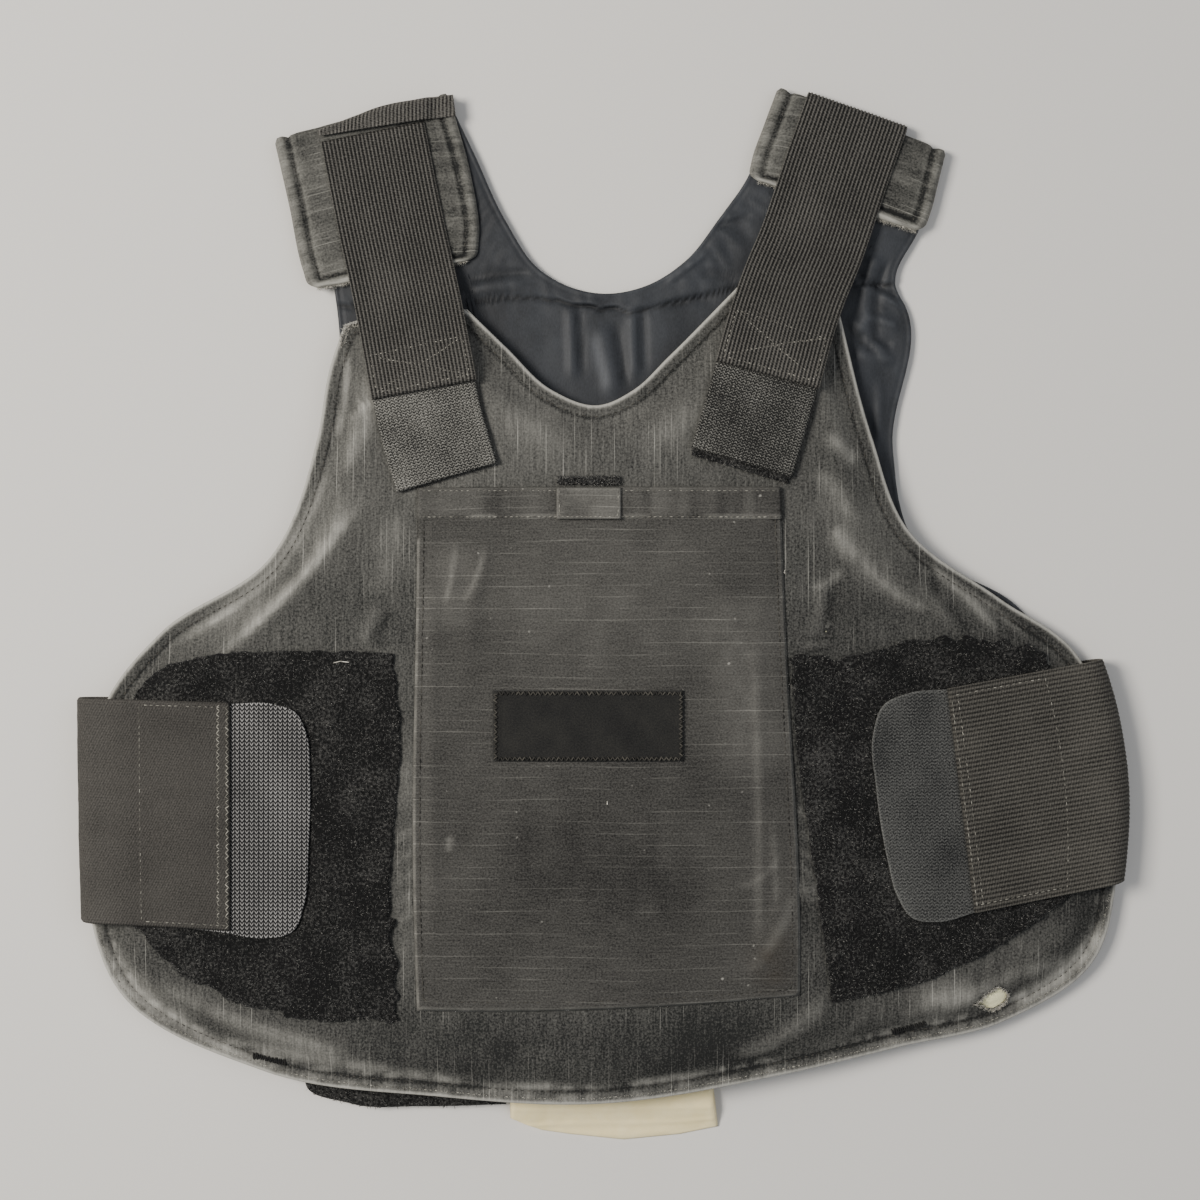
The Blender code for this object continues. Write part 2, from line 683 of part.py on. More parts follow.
def make_back_panel():
    creases = [inset(BACK, BACK_HEM), inset(BACK, BACK_BEVEL_END), *fold_creases(BACK_FOLDS)]
    closed = [np.vstack([line, line[:1]]) for line in creases[:2]]
    padded_sheet(
        "back_panel",
        BACK,
        back_bottom,
        lambda x, y: back_top(x, y) + fold_height(x, y, BACK_FOLDS),
        "navy_lining",
        creases=closed + creases[2:],
    )


def front_rings():
    """The lines where the front panel's hem ends and where its bevel ends."""
    rings = [inset(FRONT, FRONT_HEM), inset(FRONT, FRONT_BEVEL_END)]
    return [np.vstack([ring, ring[:1]]) for ring in rings]


def make_front_carrier():
    """A cloth bag: an outer skin, an inner skin round the armour pack, and a tear through the face."""
    tear = outline(TEAR, TEAR_STEP)
    solid = Solid()

    flat, triangles, opened = plan(
        FRONT, holes=[tear], creases=front_rings() + arch_creases() + fold_creases(FRONT_FOLDS)
    )
    face = triangles[~opened]
    outer_top = solid.surface(
        flat, lambda x, y: front_top(x, y) + fold_height(x, y, FRONT_FOLDS), face, True
    )
    outer_bottom = solid.surface(flat, front_bottom, triangles, False)
    solid.wall(rim(triangles), outer_top, outer_bottom)
    outer_tear = tear_edges(flat, face, tear)

    cavity = inset(FRONT, CAVITY_INSET)
    flat_in, triangles_in, opened_in = plan(
        cavity, holes=[tear], creases=front_rings()[1:] + arch_creases()
    )
    face_in = triangles_in[~opened_in]
    inner_top = solid.surface(
        flat_in, lambda x, y: front_top(x, y) - CARRIER_CLOTH, face_in, False
    )
    inner_bottom = solid.surface(
        flat_in, lambda x, y: front_bottom(x, y) + CARRIER_CLOTH, triangles_in, True
    )
    solid.wall([(b, a) for a, b in rim(triangles_in)], inner_top, inner_bottom)
    inner_tear = tear_edges(flat_in, face_in, tear)

    for (a, b), (c, d) in zip(outer_tear, inner_tear):
        solid.faces.append((outer_top + b, outer_top + a, inner_top + c, inner_top + d))
    solid.make("front_carrier", "faded_carrier_cloth", smooth_angle=40)


def tear_edges(flat, triangles, tear):
    """The tear's own edges in a surface, in the order of the tear's points."""
    number = [int(np.linalg.norm(flat - point, axis=1).argmin()) for point in tear]
    return [(number[i], number[(i + 1) % len(tear)]) for i in range(len(tear))]


def make_front_armour_pack():
    """The armour pack inside the carrier, clear of the cloth all round."""
    margin = CARRIER_CLOTH + GAP
    padded_sheet(
        "front_armour_pack",
        inset(FRONT, PACK_INSET),
        lambda x, y: front_bottom(x, y) + margin,
        lambda x, y: front_top(x, y) - margin,
        "armour_pack",
        creases=front_rings()[1:] + arch_creases(),
    )


def make_pocket():
    """The patch pocket on the chest, the turned hem at its mouth, its pull tab and the pile it grips."""
    pocket = outline(POCKET_EDGE)

    def on_front(x, y):
        return front_face(x, y) + OVER_FRONT

    layer("pocket", pocket, on_front, POCKET_CLOTH, "pocket_ripstop", arch_creases())

    left, right = POCKET_EDGE[0], POCKET_EDGE[-1]
    hem = np.array(
        [
            (left.x, left.y),
            (left.x - 0.1, left.y - POCKET_HEM_DEPTH),
            (0, 0.5 * (left.y + right.y) - POCKET_HEM_DEPTH),
            (right.x + 0.6, right.y - POCKET_HEM_DEPTH),
            (right.x, right.y),
        ]
    )
    over_pocket = OVER_FRONT + POCKET_CLOTH + GAP
    layer(
        "pocket_hem",
        hem,
        lambda x, y: front_face(x, y) + over_pocket,
        POCKET_CLOTH,
        "pocket_ripstop",
        arch_creases(),
    )
    layer(
        "pocket_tab",
        rectangle(*POCKET_TAB),
        lambda x, y: front_face(x, y) + over_pocket + POCKET_CLOTH + GAP,
        POCKET_CLOTH,
        "pocket_ripstop",
        arch_creases(),
    )
    layer(
        "pocket_fastener",
        rectangle(*POCKET_FASTENER),
        on_front,
        LOOP_PILE,
        "loop_pile",
        arch_creases(),
    )
    layer(
        "badge",
        rectangle(*BADGE),
        lambda x, y: front_face(x, y) + over_pocket,
        BADGE_THICK,
        "badge_cloth",
        arch_creases(),
    )


def make_side_fastening(side, field, tab, strap):
    """One side's loop field, hook tab and the elastic strap that wraps round from the back panel."""
    layer(
        f"loop_field_{side}",
        outline(field, 14),
        lambda x, y: front_top(x, y) + OVER_FRONT,
        LOOP_PILE,
        "loop_pile",
        front_rings() + arch_creases(),
    )
    layer(
        f"side_tab_{side}",
        outline(tab, 9),
        lambda x, y: front_face(x, y) + OVER_PILE,
        TAB_THICK,
        "hook_tape",
        arch_creases(),
    )
    band(f"side_strap_{side}", side_strap_sections(strap), STRAP_THICK, "elastic_webbing")


def side_strap_sections(strap, columns=5):
    """Sections from the end over the tab, round the fold, to the end sewn under the back panel's hem."""
    end, fold, sewn = (np.array(pair, float) for pair in (strap.end, strap.fold, strap.sewn))
    shares = np.linspace(0, 1, columns)[:, None]
    end_line = end[0] + shares * (end[1] - end[0])
    fold_line = fold[0] + shares * (fold[1] - fold[0])
    sewn_line = sewn[0] + shares * (sewn[1] - sewn[0])
    out = fold_line - end_line
    out /= np.linalg.norm(out, axis=1)[:, None]
    fold_line = fold_line + out * strap.bulge * 4 * shares * (1 - shares)
    half = STRAP_THICK / 2
    low = half
    high = FRONT_BASE + FRONT_THICK + OVER_TAB + half
    radius = (high - low) / 2
    centre = fold_line - out * (radius + half)

    sections = []
    for share in np.linspace(0, 1, 6):
        line = end_line + share * (centre - end_line)
        height = front_face(line[:, 0], line[:, 1]) + OVER_TAB + half
        sections.append(np.column_stack([line, height]))
    for angle in np.linspace(90, -90, SIDE_FOLD_STEPS + 1)[1:]:
        turn = math.radians(angle)
        line = centre + out * radius * math.cos(turn)
        height = np.full(columns, low + radius + radius * math.sin(turn))
        sections.append(np.column_stack([line, height]))
    sections.append(np.column_stack([sewn_line, np.full(columns, low)]))
    return sections


def make_shoulder_flap(side, table):
    """The padded end of the back panel: flat over the shoulder, then rolled down past the panel's edge."""
    half = FLAP_THICK / 2
    level = SHOULDER_THICK + GAP + half
    arm = np.array([(s.arm_x, s.arm_y) for s in table], float)
    neck = np.array([(s.neck_x, s.neck_y) for s in table], float)
    sections = [
        [(*(a + (n - a) * t), level) for t in np.linspace(0, 1, 4)] for a, n in zip(arm, neck)
    ]
    run = neck[-1] - arm[-1]
    out = np.array([-run[1], run[0]]) / np.linalg.norm(run)
    out *= math.copysign(1, out[1])
    last = np.array(sections[-1])
    for angle in (30, 60, 90):
        turn = math.radians(angle)
        shift = out * FLAP_FOLD_RADIUS * math.sin(turn)
        drop = FLAP_FOLD_RADIUS * (1 - math.cos(turn))
        sections.append(last + np.array([*shift, -drop]))
    foot = sections[-1].copy()
    foot[:, 2] = FLAP_FOLD_FOOT
    sections.append(foot)
    band(f"shoulder_flap_{side}", sections, FLAP_THICK, "faded_carrier_cloth")
    return level + half


def wrapped_end(sections):
    """Carries a strap on round the rolled end of a flap and back under the panel's hem."""
    start = np.array(sections[0])
    out = start.mean(axis=0) - np.array(sections[1]).mean(axis=0)
    out[2] = 0
    out /= np.linalg.norm(out)
    down = np.array([0, 0, -1.0])
    extra = []
    for angle in (30, 60, 90):
        turn = math.radians(angle)
        shift = out * math.sin(turn) + down * (1 - math.cos(turn))
        extra.append(start + shift * WRAP_RADIUS)
    foot = extra[-1].copy()
    foot[:, 2] = STRAP_THICK / 2 + WRAP_FOOT_RADIUS
    extra.append(foot)
    for angle in (45, 90):
        turn = math.radians(angle)
        shift = WRAP_FOOT_RADIUS * (1 - math.cos(turn))
        extra.append(foot - out * shift + down * WRAP_FOOT_RADIUS * math.sin(turn))
    tucked = extra[-1] - out * WRAP_TUCK
    extra.append(tucked)
    return np.array([*extra[::-1], *sections])


def make_shoulder_fastening(side, strap_line, tab_line, pile_line, flap_top, wraps):
    """One shoulder's elastic strap, the tab at its end and the pile that the tab is pressed on."""
    sections = refine(station_sections(strap_line, SHOULDER_STRAP_WIDTH, STRAP_THICK, flap_top))
    if wraps:
        sections = wrapped_end(sections)
    band(f"shoulder_strap_{side}", sections, STRAP_THICK, "elastic_webbing")

    tab = refine(station_sections(tab_line, SHOULDER_STRAP_WIDTH - 1, TAB_THICK, flap_top), 14)
    tab = lay_on_front(tab, OVER_PILE, TAB_THICK)
    band(f"shoulder_tab_{side}", tab, TAB_THICK, "hook_tape")

    pile = refine(station_sections(pile_line, SHOULDER_STRAP_WIDTH - 3, LOOP_PILE, flap_top), 14)
    pile = lay_on_front(pile, OVER_FRONT, LOOP_PILE)
    band(f"shoulder_pile_{side}", pile, LOOP_PILE, "loop_pile")


def make_label_and_closure():
    """What shows under the bottom edge: the care label and the pile strip that closes the carrier."""
    places, heights = zip(*LABEL_DROP)
    layer(
        "care_label",
        outline(CARE_LABEL, 12),
        lambda x, y: np.interp(y, places, heights),
        LABEL_THICK,
        "label_cloth",
        creases=[np.array([(-60.0, p), (70.0, p)]) for p in places[1:-1]],
        lattice=20,
    )
    padded_sheet(
        "closure_strip",
        outline(CLOSURE_STRIP, 12),
        lambda x, y: np.full(np.shape(x), SHOULDER_THICK + GAP),
        lambda x, y: np.full(np.shape(x), SHOULDER_THICK + GAP + LOOP_PILE),
        "loop_pile",
        lattice=20,
    )


FRONT = outline(FRONT_EDGE)
BACK = outline(BACK_EDGE)


def main():
    clear_scene()
    make_back_panel()
    make_front_carrier()
    make_front_armour_pack()
    make_pocket()
    make_side_fastening("left", LEFT_FIELD, LEFT_SIDE_TAB, LEFT_SIDE_STRAP)
    make_side_fastening("right", RIGHT_FIELD, RIGHT_SIDE_TAB, RIGHT_SIDE_STRAP)
    flap_top = make_shoulder_flap("left", LEFT_FLAP)
    make_shoulder_flap("right", RIGHT_FLAP)
    make_shoulder_fastening(
        "left", LEFT_STRAP_LINE, LEFT_TAB_LINE, LEFT_SHOULDER_PILE, flap_top, wraps=False
    )
    make_shoulder_fastening(
        "right", RIGHT_STRAP_LINE, RIGHT_TAB_LINE, RIGHT_SHOULDER_PILE, flap_top, wraps=True
    )
    make_label_and_closure()


main()
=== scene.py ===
# %% [markdown]
# # A soft body-armour vest
# The vest lies on its back panel. Everything here is cloth: faded carriers over armour packs, ribbed
# elastic, woven hook tape and fuzzy loop pile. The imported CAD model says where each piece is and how
# thick it is. This lesson dresses each piece as a fine surface of its own, worked out with numpy from
# the same sizes, so every seam, rib and fold sits where the solid says.

from collections import namedtuple
import math

import bmesh
import bpy
import numpy as np
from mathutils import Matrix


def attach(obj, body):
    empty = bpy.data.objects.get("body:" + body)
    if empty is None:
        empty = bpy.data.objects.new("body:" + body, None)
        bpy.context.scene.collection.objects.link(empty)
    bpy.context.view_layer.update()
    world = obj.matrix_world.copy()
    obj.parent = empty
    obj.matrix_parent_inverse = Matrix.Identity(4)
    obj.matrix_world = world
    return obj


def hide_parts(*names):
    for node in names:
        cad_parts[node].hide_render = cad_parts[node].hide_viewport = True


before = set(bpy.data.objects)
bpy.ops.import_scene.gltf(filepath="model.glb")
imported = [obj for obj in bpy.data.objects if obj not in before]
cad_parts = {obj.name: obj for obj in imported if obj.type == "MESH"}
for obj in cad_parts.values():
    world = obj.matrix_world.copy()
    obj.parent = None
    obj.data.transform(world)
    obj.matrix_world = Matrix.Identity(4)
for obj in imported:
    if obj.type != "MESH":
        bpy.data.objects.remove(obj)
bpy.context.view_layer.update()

# %% [markdown]
# ## Sizes
# A sewn thing is a stack of thin layers. Their thicknesses and the clearance between them are named
# once, in millimetres, as in the part's source, because each layer's height is the sum of those below.
# The pitches of ribs, cords and thick yarns stand here too, as mesh and shader share them.

# %% Layer thicknesses and heights
MM = 0.001
GAP = 0.4
RIB_PITCH, CORD_PITCH = 1.81, 2.1
HAIRLINE_PITCH, RIPSTOP_PITCH = 2.7, 5.3
CARRIER_CLOTH = 1.2
POCKET_CLOTH = 1.2
HEM_THICK = 2.4
LOOP_PILE = 1.8
TAB_THICK = 1.4
STRAP_THICK = 1.6
BADGE_THICK = 1.0
LABEL_THICK = 1.0
FLAP_THICK = 3.4
BACK_THICK = 6.5
BACK_HEM = 9.0
BACK_BEVEL_END = 22.0
BACK_EDGE_LIFT = STRAP_THICK + GAP
SHOULDER_THICK = BACK_EDGE_LIFT + HEM_THICK
FRONT_THICK = 7.0
FRONT_HEM = 6.5
FRONT_BEVEL_END = 21.0
FRONT_BASE = BACK_THICK + GAP
ARCH_RISE, ARCH_HALF, ARCH_LEFT_AT_SHOULDER = 14.0, 215.0, 0.4
ARCH_LINES_X = (-215, -195, -162, -128, -96, -64, -32, 0, 32, 64, 96, 128, 162, 195, 215)
ARCH_LINES_Y = (-20, 20, 60, 100, 150)
OVER_FRONT = GAP
OVER_PILE = OVER_FRONT + LOOP_PILE + GAP
OVER_TAB = OVER_PILE + TAB_THICK + GAP
SHOULDER_STRAP_WIDTH = 50.8

# %% [markdown]
# ## Curves and fields
# Five small tools carry the whole lesson. A bell curve shapes every seam, rim and fold. A closed curve
# runs through a table of named points. A fan grid fills it with rings that follow the edge and then
# close on a pole. Noise gives cloth its unevenness. Folds are lines whose cross-section is a bell, so a
# table of lines becomes a relief.

# %% Smooth curves through tables
Row = namedtuple("Row", "place x y turn", defaults=("smooth",))


def ease(t):
    """0 below 0, 1 above 1, and the cubic 3t^2 - 2t^3 between."""
    t = np.clip(t, 0.0, 1.0)
    return t * t * (3 - 2 * t)


def bell(offset, width):
    """1 where the offset is 0 and falling off smoothly on both sides: exp(-(offset / width)^2)."""
    return np.exp(-((offset / width) ** 2))


def closed_curve(rows, step=1.6):
    """Cubic Hermite pieces between the rows: tangents are averaged at smooth rows and break at
    corners. The result is spaced evenly by arc length."""
    points = np.array([(row.x, row.y) for row in rows], float)
    after = np.roll(points, -1, axis=0) - points
    length = np.linalg.norm(after, axis=1)
    unit = after / length[:, None]
    tangent = unit * np.roll(length, 1)[:, None] + np.roll(unit, 1, axis=0) * length[:, None]
    tangent /= np.linalg.norm(tangent, axis=1)[:, None]
    sharp = np.array([row.turn == "corner" for row in rows])[:, None]
    leaving = np.where(sharp, unit, tangent)[:, None] * length[:, None, None]
    arriving = np.roll(tangent, -1, axis=0)
    arriving = np.where(np.roll(sharp, -1, axis=0), unit, arriving)[:, None] * length[:, None, None]
    t = np.linspace(0, 1, 24, endpoint=False)[None, :, None]
    start, end = points[:, None], np.roll(points, -1, axis=0)[:, None]
    fine = (
        (2 * t**3 - 3 * t**2 + 1) * start
        + (t**3 - 2 * t**2 + t) * leaving
        + (3 * t**2 - 2 * t**3) * end
        + (t**3 - t**2) * arriving
    ).reshape(-1, 2)
    return even(np.vstack([fine, fine[:1]]), step)[:-1]


def even(path, step, count=None):
    """The same path with points at equal steps of arc length."""
    run = np.concatenate([[0], np.cumsum(np.linalg.norm(np.diff(path, axis=0), axis=1))])
    count = count or max(3, round(run[-1] / step) + 1)
    at = np.linspace(0, run[-1], count)
    return np.column_stack([np.interp(at, run, path[:, k]) for k in range(path.shape[1])])


def distance_to(points, curve):
    """Each point's distance from the nearest piece of a closed curve, in slices to save memory."""
    flat = points.reshape(-1, 2)
    start, along = curve[None], (np.roll(curve, -1, axis=0) - curve)[None]
    square = (along**2).sum(2)
    found = np.empty(len(flat))
    for first in range(0, len(flat), 6000):
        piece = flat[first : first + 6000, None]
        share = np.clip(((piece - start) * along).sum(2) / square, 0, 1)
        away = piece - start - along * share[..., None]
        found[first : first + 6000] = np.sqrt((away**2).sum(2).min(axis=1))
    return found.reshape(points.shape[:-1])


def signed_area(curve):
    """The shoelace sum over a closed curve: positive where it runs anticlockwise."""
    ahead = np.roll(curve, -1, axis=0)
    return (curve[:, 0] * ahead[:, 1] - ahead[:, 0] * curve[:, 1]).sum() / 2


def fan(curve, pole, depths, reach=40.0, spread=14.0):
    """Rings from a closed curve to a pole. Each point moves along a quadratic Bezier that leaves the
    curve along its inward normal, smoothed so that corners fan out, and ends at the pole."""
    run = np.roll(curve, -1, axis=0) - np.roll(curve, 1, axis=0)
    ahead = np.roll(curve, -1, axis=0)
    normal = np.sign(signed_area(curve)) * np.stack([-run[:, 1], run[:, 0]], axis=1)
    normal /= np.linalg.norm(normal, axis=1)[:, None]
    step = np.linalg.norm(ahead - curve, axis=1).mean()
    place = np.fft.fftfreq(len(curve)) * len(curve) * step
    window = np.exp(-0.5 * (place / spread) ** 2)
    window = np.fft.fft(window / window.sum())[:, None]
    normal = np.fft.ifft(np.fft.fft(normal, axis=0) * window, axis=0).real
    far = np.linalg.norm(pole - curve, axis=1).mean()
    t = np.linspace(0, 1, 400)
    t = np.interp(depths, 2 * reach * t * (1 - t) + t * t * far, t)[:, None, None]
    return curve + normal * 2 * reach * t * (1 - t) + t * t * (pole - curve)


def noise(x, y, size, seed):
    """Smooth random heights from -1 to 1: random numbers on a lattice of that size, eased between."""
    table = np.random.default_rng(seed).uniform(-1, 1, (128, 128))
    size_x, size_y = size if isinstance(size, tuple) else (size, size)
    u, v = np.asarray(x) / size_x + 51.3, np.asarray(y) / size_y + 37.7
    i, j = np.floor(u).astype(int), np.floor(v).astype(int)
    a, b = ease(u - i), ease(v - j)
    i, j = i % 128, j % 128
    i2, j2 = (i + 1) % 128, (j + 1) % 128
    low = table[i, j] * (1 - a) + table[i2, j] * a
    high = table[i, j2] * (1 - a) + table[i2, j2] * a
    return low * (1 - b) + high * b


def rough(x, y, size, seed, octaves=3):
    """Noise with finer and weaker copies added, each half the size and a little over half as strong."""
    total = sum(noise(x, y, size / 2**k, seed + k) * 0.55**k for k in range(octaves))
    return total / sum(0.55**k for k in range(octaves))


# %% Reliefs from tables of lines
Fold = namedtuple("Fold", "place x0 y0 x1 y1 bend width height")


def relief(x, y, rows, sharp=1.0):
    """Adds a bell-shaped ridge or crease along each row's line, which may bow sideways and fades at
    its ends. The side to the left of the line's run is narrower by the factor sharp."""
    total = np.zeros(np.shape(x))
    for row in rows:
        run = np.array([row.x1 - row.x0, row.y1 - row.y0], float)
        long = np.hypot(*run)
        share = ((x - row.x0) * run[0] + (y - row.y0) * run[1]) / long**2
        aside = ((y - row.y0) * run[0] - (x - row.x0) * run[1]) / long
        aside = aside - row.bend * 4 * share * (1 - share)
        aside = np.where(aside > 0, aside * sharp, aside)
        ends = ease(share * 4 + 0.15) * ease((1 - share) * 4 + 0.15)
        total += row.height * ends * bell(aside, row.width)
    return total


print("noise sample:", round(float(noise(3.0, 4.0, 10, 1)), 4))

# %% [markdown]
# ## From arrays to meshes
# A cloth piece is closed: an upper and a lower grid that share their border. Two kinds are enough. A
# pad comes from a fan grid, for panels with a free outline. A slab comes from a plain grid of rows and
# columns, for straps and patches. Both carry a UV map in metres along the cloth, so a weave keeps its
# true size, and named values at the points, which say where the cloth is worn and, on some pieces,
# where shade and a light falloff are painted.


# %% Mesh builders
def to_object(name, points, faces, material, uv, values, smooth=True):
    """Puts arrays in millimetres into a mesh object at the origin, in metres."""
    mesh = bpy.data.meshes.new(name)
    mesh.from_pydata((points * MM).tolist(), [], [tuple(f) for part in faces for f in part.tolist()])
    mesh.materials.append(material)
    corner = np.empty(len(mesh.loops), np.int32)
    mesh.loops.foreach_get("vertex_index", corner)
    layer = mesh.uv_layers.new(name="cloth")
    layer.data.foreach_set("uv", (uv[corner] * MM).astype(np.float32).ravel())
    for key, value in values.items():
        attribute = mesh.attributes.new(key, "FLOAT", "POINT")
        attribute.data.foreach_set("value", np.asarray(value, np.float32).ravel())
    mesh.polygons.foreach_set("use_smooth", np.full(len(mesh.polygons), smooth))
    mesh.update()
    made = bpy.data.objects.new(name, mesh)
    bpy.context.scene.collection.objects.link(made)
    return made


def quads(index, wrap=False):
    """Faces between the rows and columns of an index grid, joined round if wrap is set."""
    right = np.roll(index, -1, axis=1) if wrap else index[:, 1:]
    left = index if wrap else index[:, :-1]
    return np.stack([left[:-1], right[:-1], right[1:], left[1:]], axis=-1).reshape(-1, 4)


def pad(name, curve, pole, top_depths, low_depths, top, bottom, material, values, soft_edge=1.2, reach=40.0):
    """A closed pad: an upper and a lower fan grid share the outline and each closes on its pole. The
    thickness grows from the outline like a quarter circle, so the edge is round."""
    upper = fan(curve, pole, top_depths, reach)
    lower = fan(curve, pole, low_depths, reach)[1:-1]
    upper = upper[:-1]
    coarse = curve[::3]
    grids = []
    for grid in (upper, lower):
        x, y, d = grid[..., 0], grid[..., 1], distance_to(grid, coarse)
        d[0] = 0 if grid is upper else d[0]
        high, low = top(x, y, d), bottom(x, y, d)
        swell = np.sqrt(1 - (1 - np.clip(d / soft_edge, 0, 1)) ** 2)
        z = (high + low) / 2 + (1 if grid is upper else -1) * swell * (high - low) / 2
        grids.append((x, y, z, d))
    n = len(curve)
    index = np.arange(upper.shape[0] * n).reshape(-1, n)
    count = index.size
    under = np.vstack([index[:1], count + np.arange(lower.shape[0] * n).reshape(-1, n)])
    count += lower.shape[0] * n
    px, py = np.array([pole[0]]), np.array([pole[1]])
    deep = np.array([99.0])
    flat = [np.stack([g[0], g[1], g[2]], axis=-1).reshape(-1, 3) for g in grids]
    tips = [[px[0], py[0], top(px, py, deep)[0]], [px[0], py[0], bottom(px, py, deep)[0]]]
    points = np.vstack([*flat, tips])
    depth = np.concatenate([grids[0][3].ravel(), grids[1][3].ravel(), [99, 99]])
    on_top = np.concatenate([np.ones(index.size), np.zeros(count - index.size), [1, 0]])
    ahead = np.roll(np.arange(n), -1)
    up_tip = np.column_stack([index[-1], index[-1][ahead], np.full(n, count)])
    low_tip = np.column_stack([under[-1][ahead], under[-1], np.full(n, count + 1)])
    faces = [quads(index, True), quads(under, True)[:, ::-1], up_tip, low_tip]
    if signed_area(curve) < 0:
        faces = [f[:, ::-1] for f in faces]
    found = values(points[:, 0], points[:, 1], depth, on_top)
    return to_object(name, points, faces, material, points[:, :2], found)


def slab(name, upper, lower, material, uv, values):
    """A closed sheet from two grids of the same size whose borders are one. values holds grids too."""
    rows, columns = upper.shape[:2]
    index = np.arange(rows * columns).reshape(rows, columns)
    border = np.ones((rows, columns), bool)
    border[1:-1, 1:-1] = False
    under = index.copy()
    under[~border] = rows * columns + np.arange((~border).sum())
    points = upper.copy()
    points[border] = (upper[border] + lower[border]) / 2
    points = np.vstack([points.reshape(-1, 3), lower[~border]])
    flat_uv = np.vstack([uv.reshape(-1, 2), uv[~border]])
    found = {k: np.concatenate([v.ravel(), v[~border]]) for k, v in values.items()}
    faces = [quads(index), quads(under)[:, ::-1]]
    return to_object(name, points, faces, material, flat_uv, found)


def lengths(grid, axis):
    """Distance run down a grid's rows (axis 0) or across its columns (axis 1) from its first line."""
    run = np.cumsum(np.linalg.norm(np.diff(grid, axis=axis), axis=2), axis=axis)
    return np.concatenate([np.zeros_like(run.take([0], axis)), run], axis=axis)


def edge_swell(across, along, radius):
    """How full a sheet's thickness is near its border: a quarter circle over the given radius."""
    near = np.minimum(
        np.minimum(across, across.max(axis=1, keepdims=True) - across),
        np.minimum(along, along.max(axis=0, keepdims=True) - along),
    )
    return np.sqrt(1 - (1 - np.clip(near / radius, 0, 1)) ** 2), near


def ribbon(name, middle, thickness, material, bumps, values, radius=0.7):
    """A strap: a middle surface of rows along it and columns across it, thickened along its normal.
    bumps(across, along) raises the upper face, for ribs and stitches sunk in it. Where the strap
    would pass through the surface that the vest lies on, it is pressed flat against it."""
    across, along = lengths(middle, 1), lengths(middle, 0)
    normal = np.cross(np.gradient(middle, axis=1), np.gradient(middle, axis=0))
    normal /= np.linalg.norm(normal, axis=2)[..., None]
    swell, near = edge_swell(across, along, radius)
    raised = (thickness / 2 + bumps(across, along)) * swell
    upper = middle + normal * raised[..., None]
    lower = middle - normal * (thickness / 2 * swell)[..., None]
    for face in (upper, lower):
        face[..., 2] = np.maximum(face[..., 2], 0.0)
    uv = np.stack([across, along], axis=-1)
    return slab(name, upper, lower, material, uv, values(across, along, near))


def dress(piece, slot, *nodes):
    """Rides on the vest's one body and stands for the CAD nodes named; its slot argument is not used."""
    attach(piece, "root")
    if nodes:
        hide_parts(*nodes)
    triangles = sum(len(p.vertices) - 2 for p in piece.data.polygons)
    print(f"{piece.name}: {triangles} triangles")
    return piece


# %% [markdown]
# ## Stitches and fibres
# Thread and pile are the same small shape many times. One template of a few faces is copied to
# hundreds of places with array arithmetic: each copy gets its own along, side and up directions.

# %% Copies of one small shape
GRAIN_RINGS = np.array([-0.46, -0.2, 0.2, 0.46])
GRAIN_GIRTH = np.array([0.45, 1.0, 1.0, 0.45])
UP = np.array([0.0, 0.0, 1.0])


def copies(name, shape, centre, along, scale, material, tint):
    """Places a shape, given as points and faces, at every centre. Its x runs along, its z up and its y
    to the side."""
    template, faces = shape
    side = np.cross(UP, along)
    side /= np.linalg.norm(side, axis=1)[:, None]
    up = np.cross(along, side)
    local = template[None] * scale[:, None]
    points = (
        centre[:, None]
        + local[..., :1] * along[:, None]
        + local[..., 1:2] * side[:, None]
        + local[..., 2:] * up[:, None]
    )
    size = len(template)
    shift = (np.arange(len(centre)) * size)[:, None, None]
    repeated = [(np.array(f)[None] + shift).reshape(-1, len(f[0])) for f in faces]
    flat = points.reshape(-1, 3)
    return to_object(name, flat, repeated, material, flat[:, :2], {"tint": np.repeat(tint, size)})


def grain(sides=5):
    """A grain of thread one unit long and two wide: rings of points that end on two tips, with its
    ends bent down into the cloth."""
    turn = np.arange(sides) * 2 * np.pi / sides
    rings = [
        np.column_stack([np.full(sides, x), g * np.cos(turn), g * np.sin(turn) - 1.6 * x * x * 4])
        for x, g in zip(GRAIN_RINGS, GRAIN_GIRTH)
    ]
    points = np.vstack([*rings, [[-0.5, 0, -1.6]], [[0.5, 0, -1.6]]])
    index = np.arange(len(GRAIN_RINGS) * sides).reshape(-1, sides)
    ahead = np.roll(np.arange(sides), -1)
    last = index.size
    tips = [
        np.column_stack([index[0][ahead], index[0], np.full(sides, last)]),
        np.column_stack([index[-1], index[-1][ahead], np.full(sides, last + 1)]),
    ]
    return points, [quads(index, True)[:, ::-1], np.vstack(tips)[:, ::-1]]


def stitched(name, paths, pitch, length, girth, material, slant=0.0, seed=1):
    """One line of thread grains along each path, at equal steps. A slant turns every other stitch,
    which makes a zigzag."""
    middles, runs = [], []
    for path in paths:
        spaced = even(np.asarray(path, float), pitch)
        run = spaced[1:] - spaced[:-1]
        run /= np.linalg.norm(run, axis=1)[:, None]
        sign = np.where(np.arange(len(run)) % 2, 1, -1)[:, None]
        middles.append((spaced[1:] + spaced[:-1]) / 2)
        runs.append(run * math.cos(slant) + np.cross(UP, run) * sign * math.sin(slant))
    centre, along = np.vstack(middles), np.vstack(runs)
    rng = np.random.default_rng(seed)
    along = along + rng.normal(0, 0.06, (len(centre), 3))
    along /= np.linalg.norm(along, axis=1)[:, None]
    scale = np.tile([length, girth, girth], (len(centre), 1)) * rng.uniform(0.85, 1.15, (len(centre), 1))
    return copies(name, grain(), centre, along, scale, material, rng.uniform(0, 1, len(centre)))


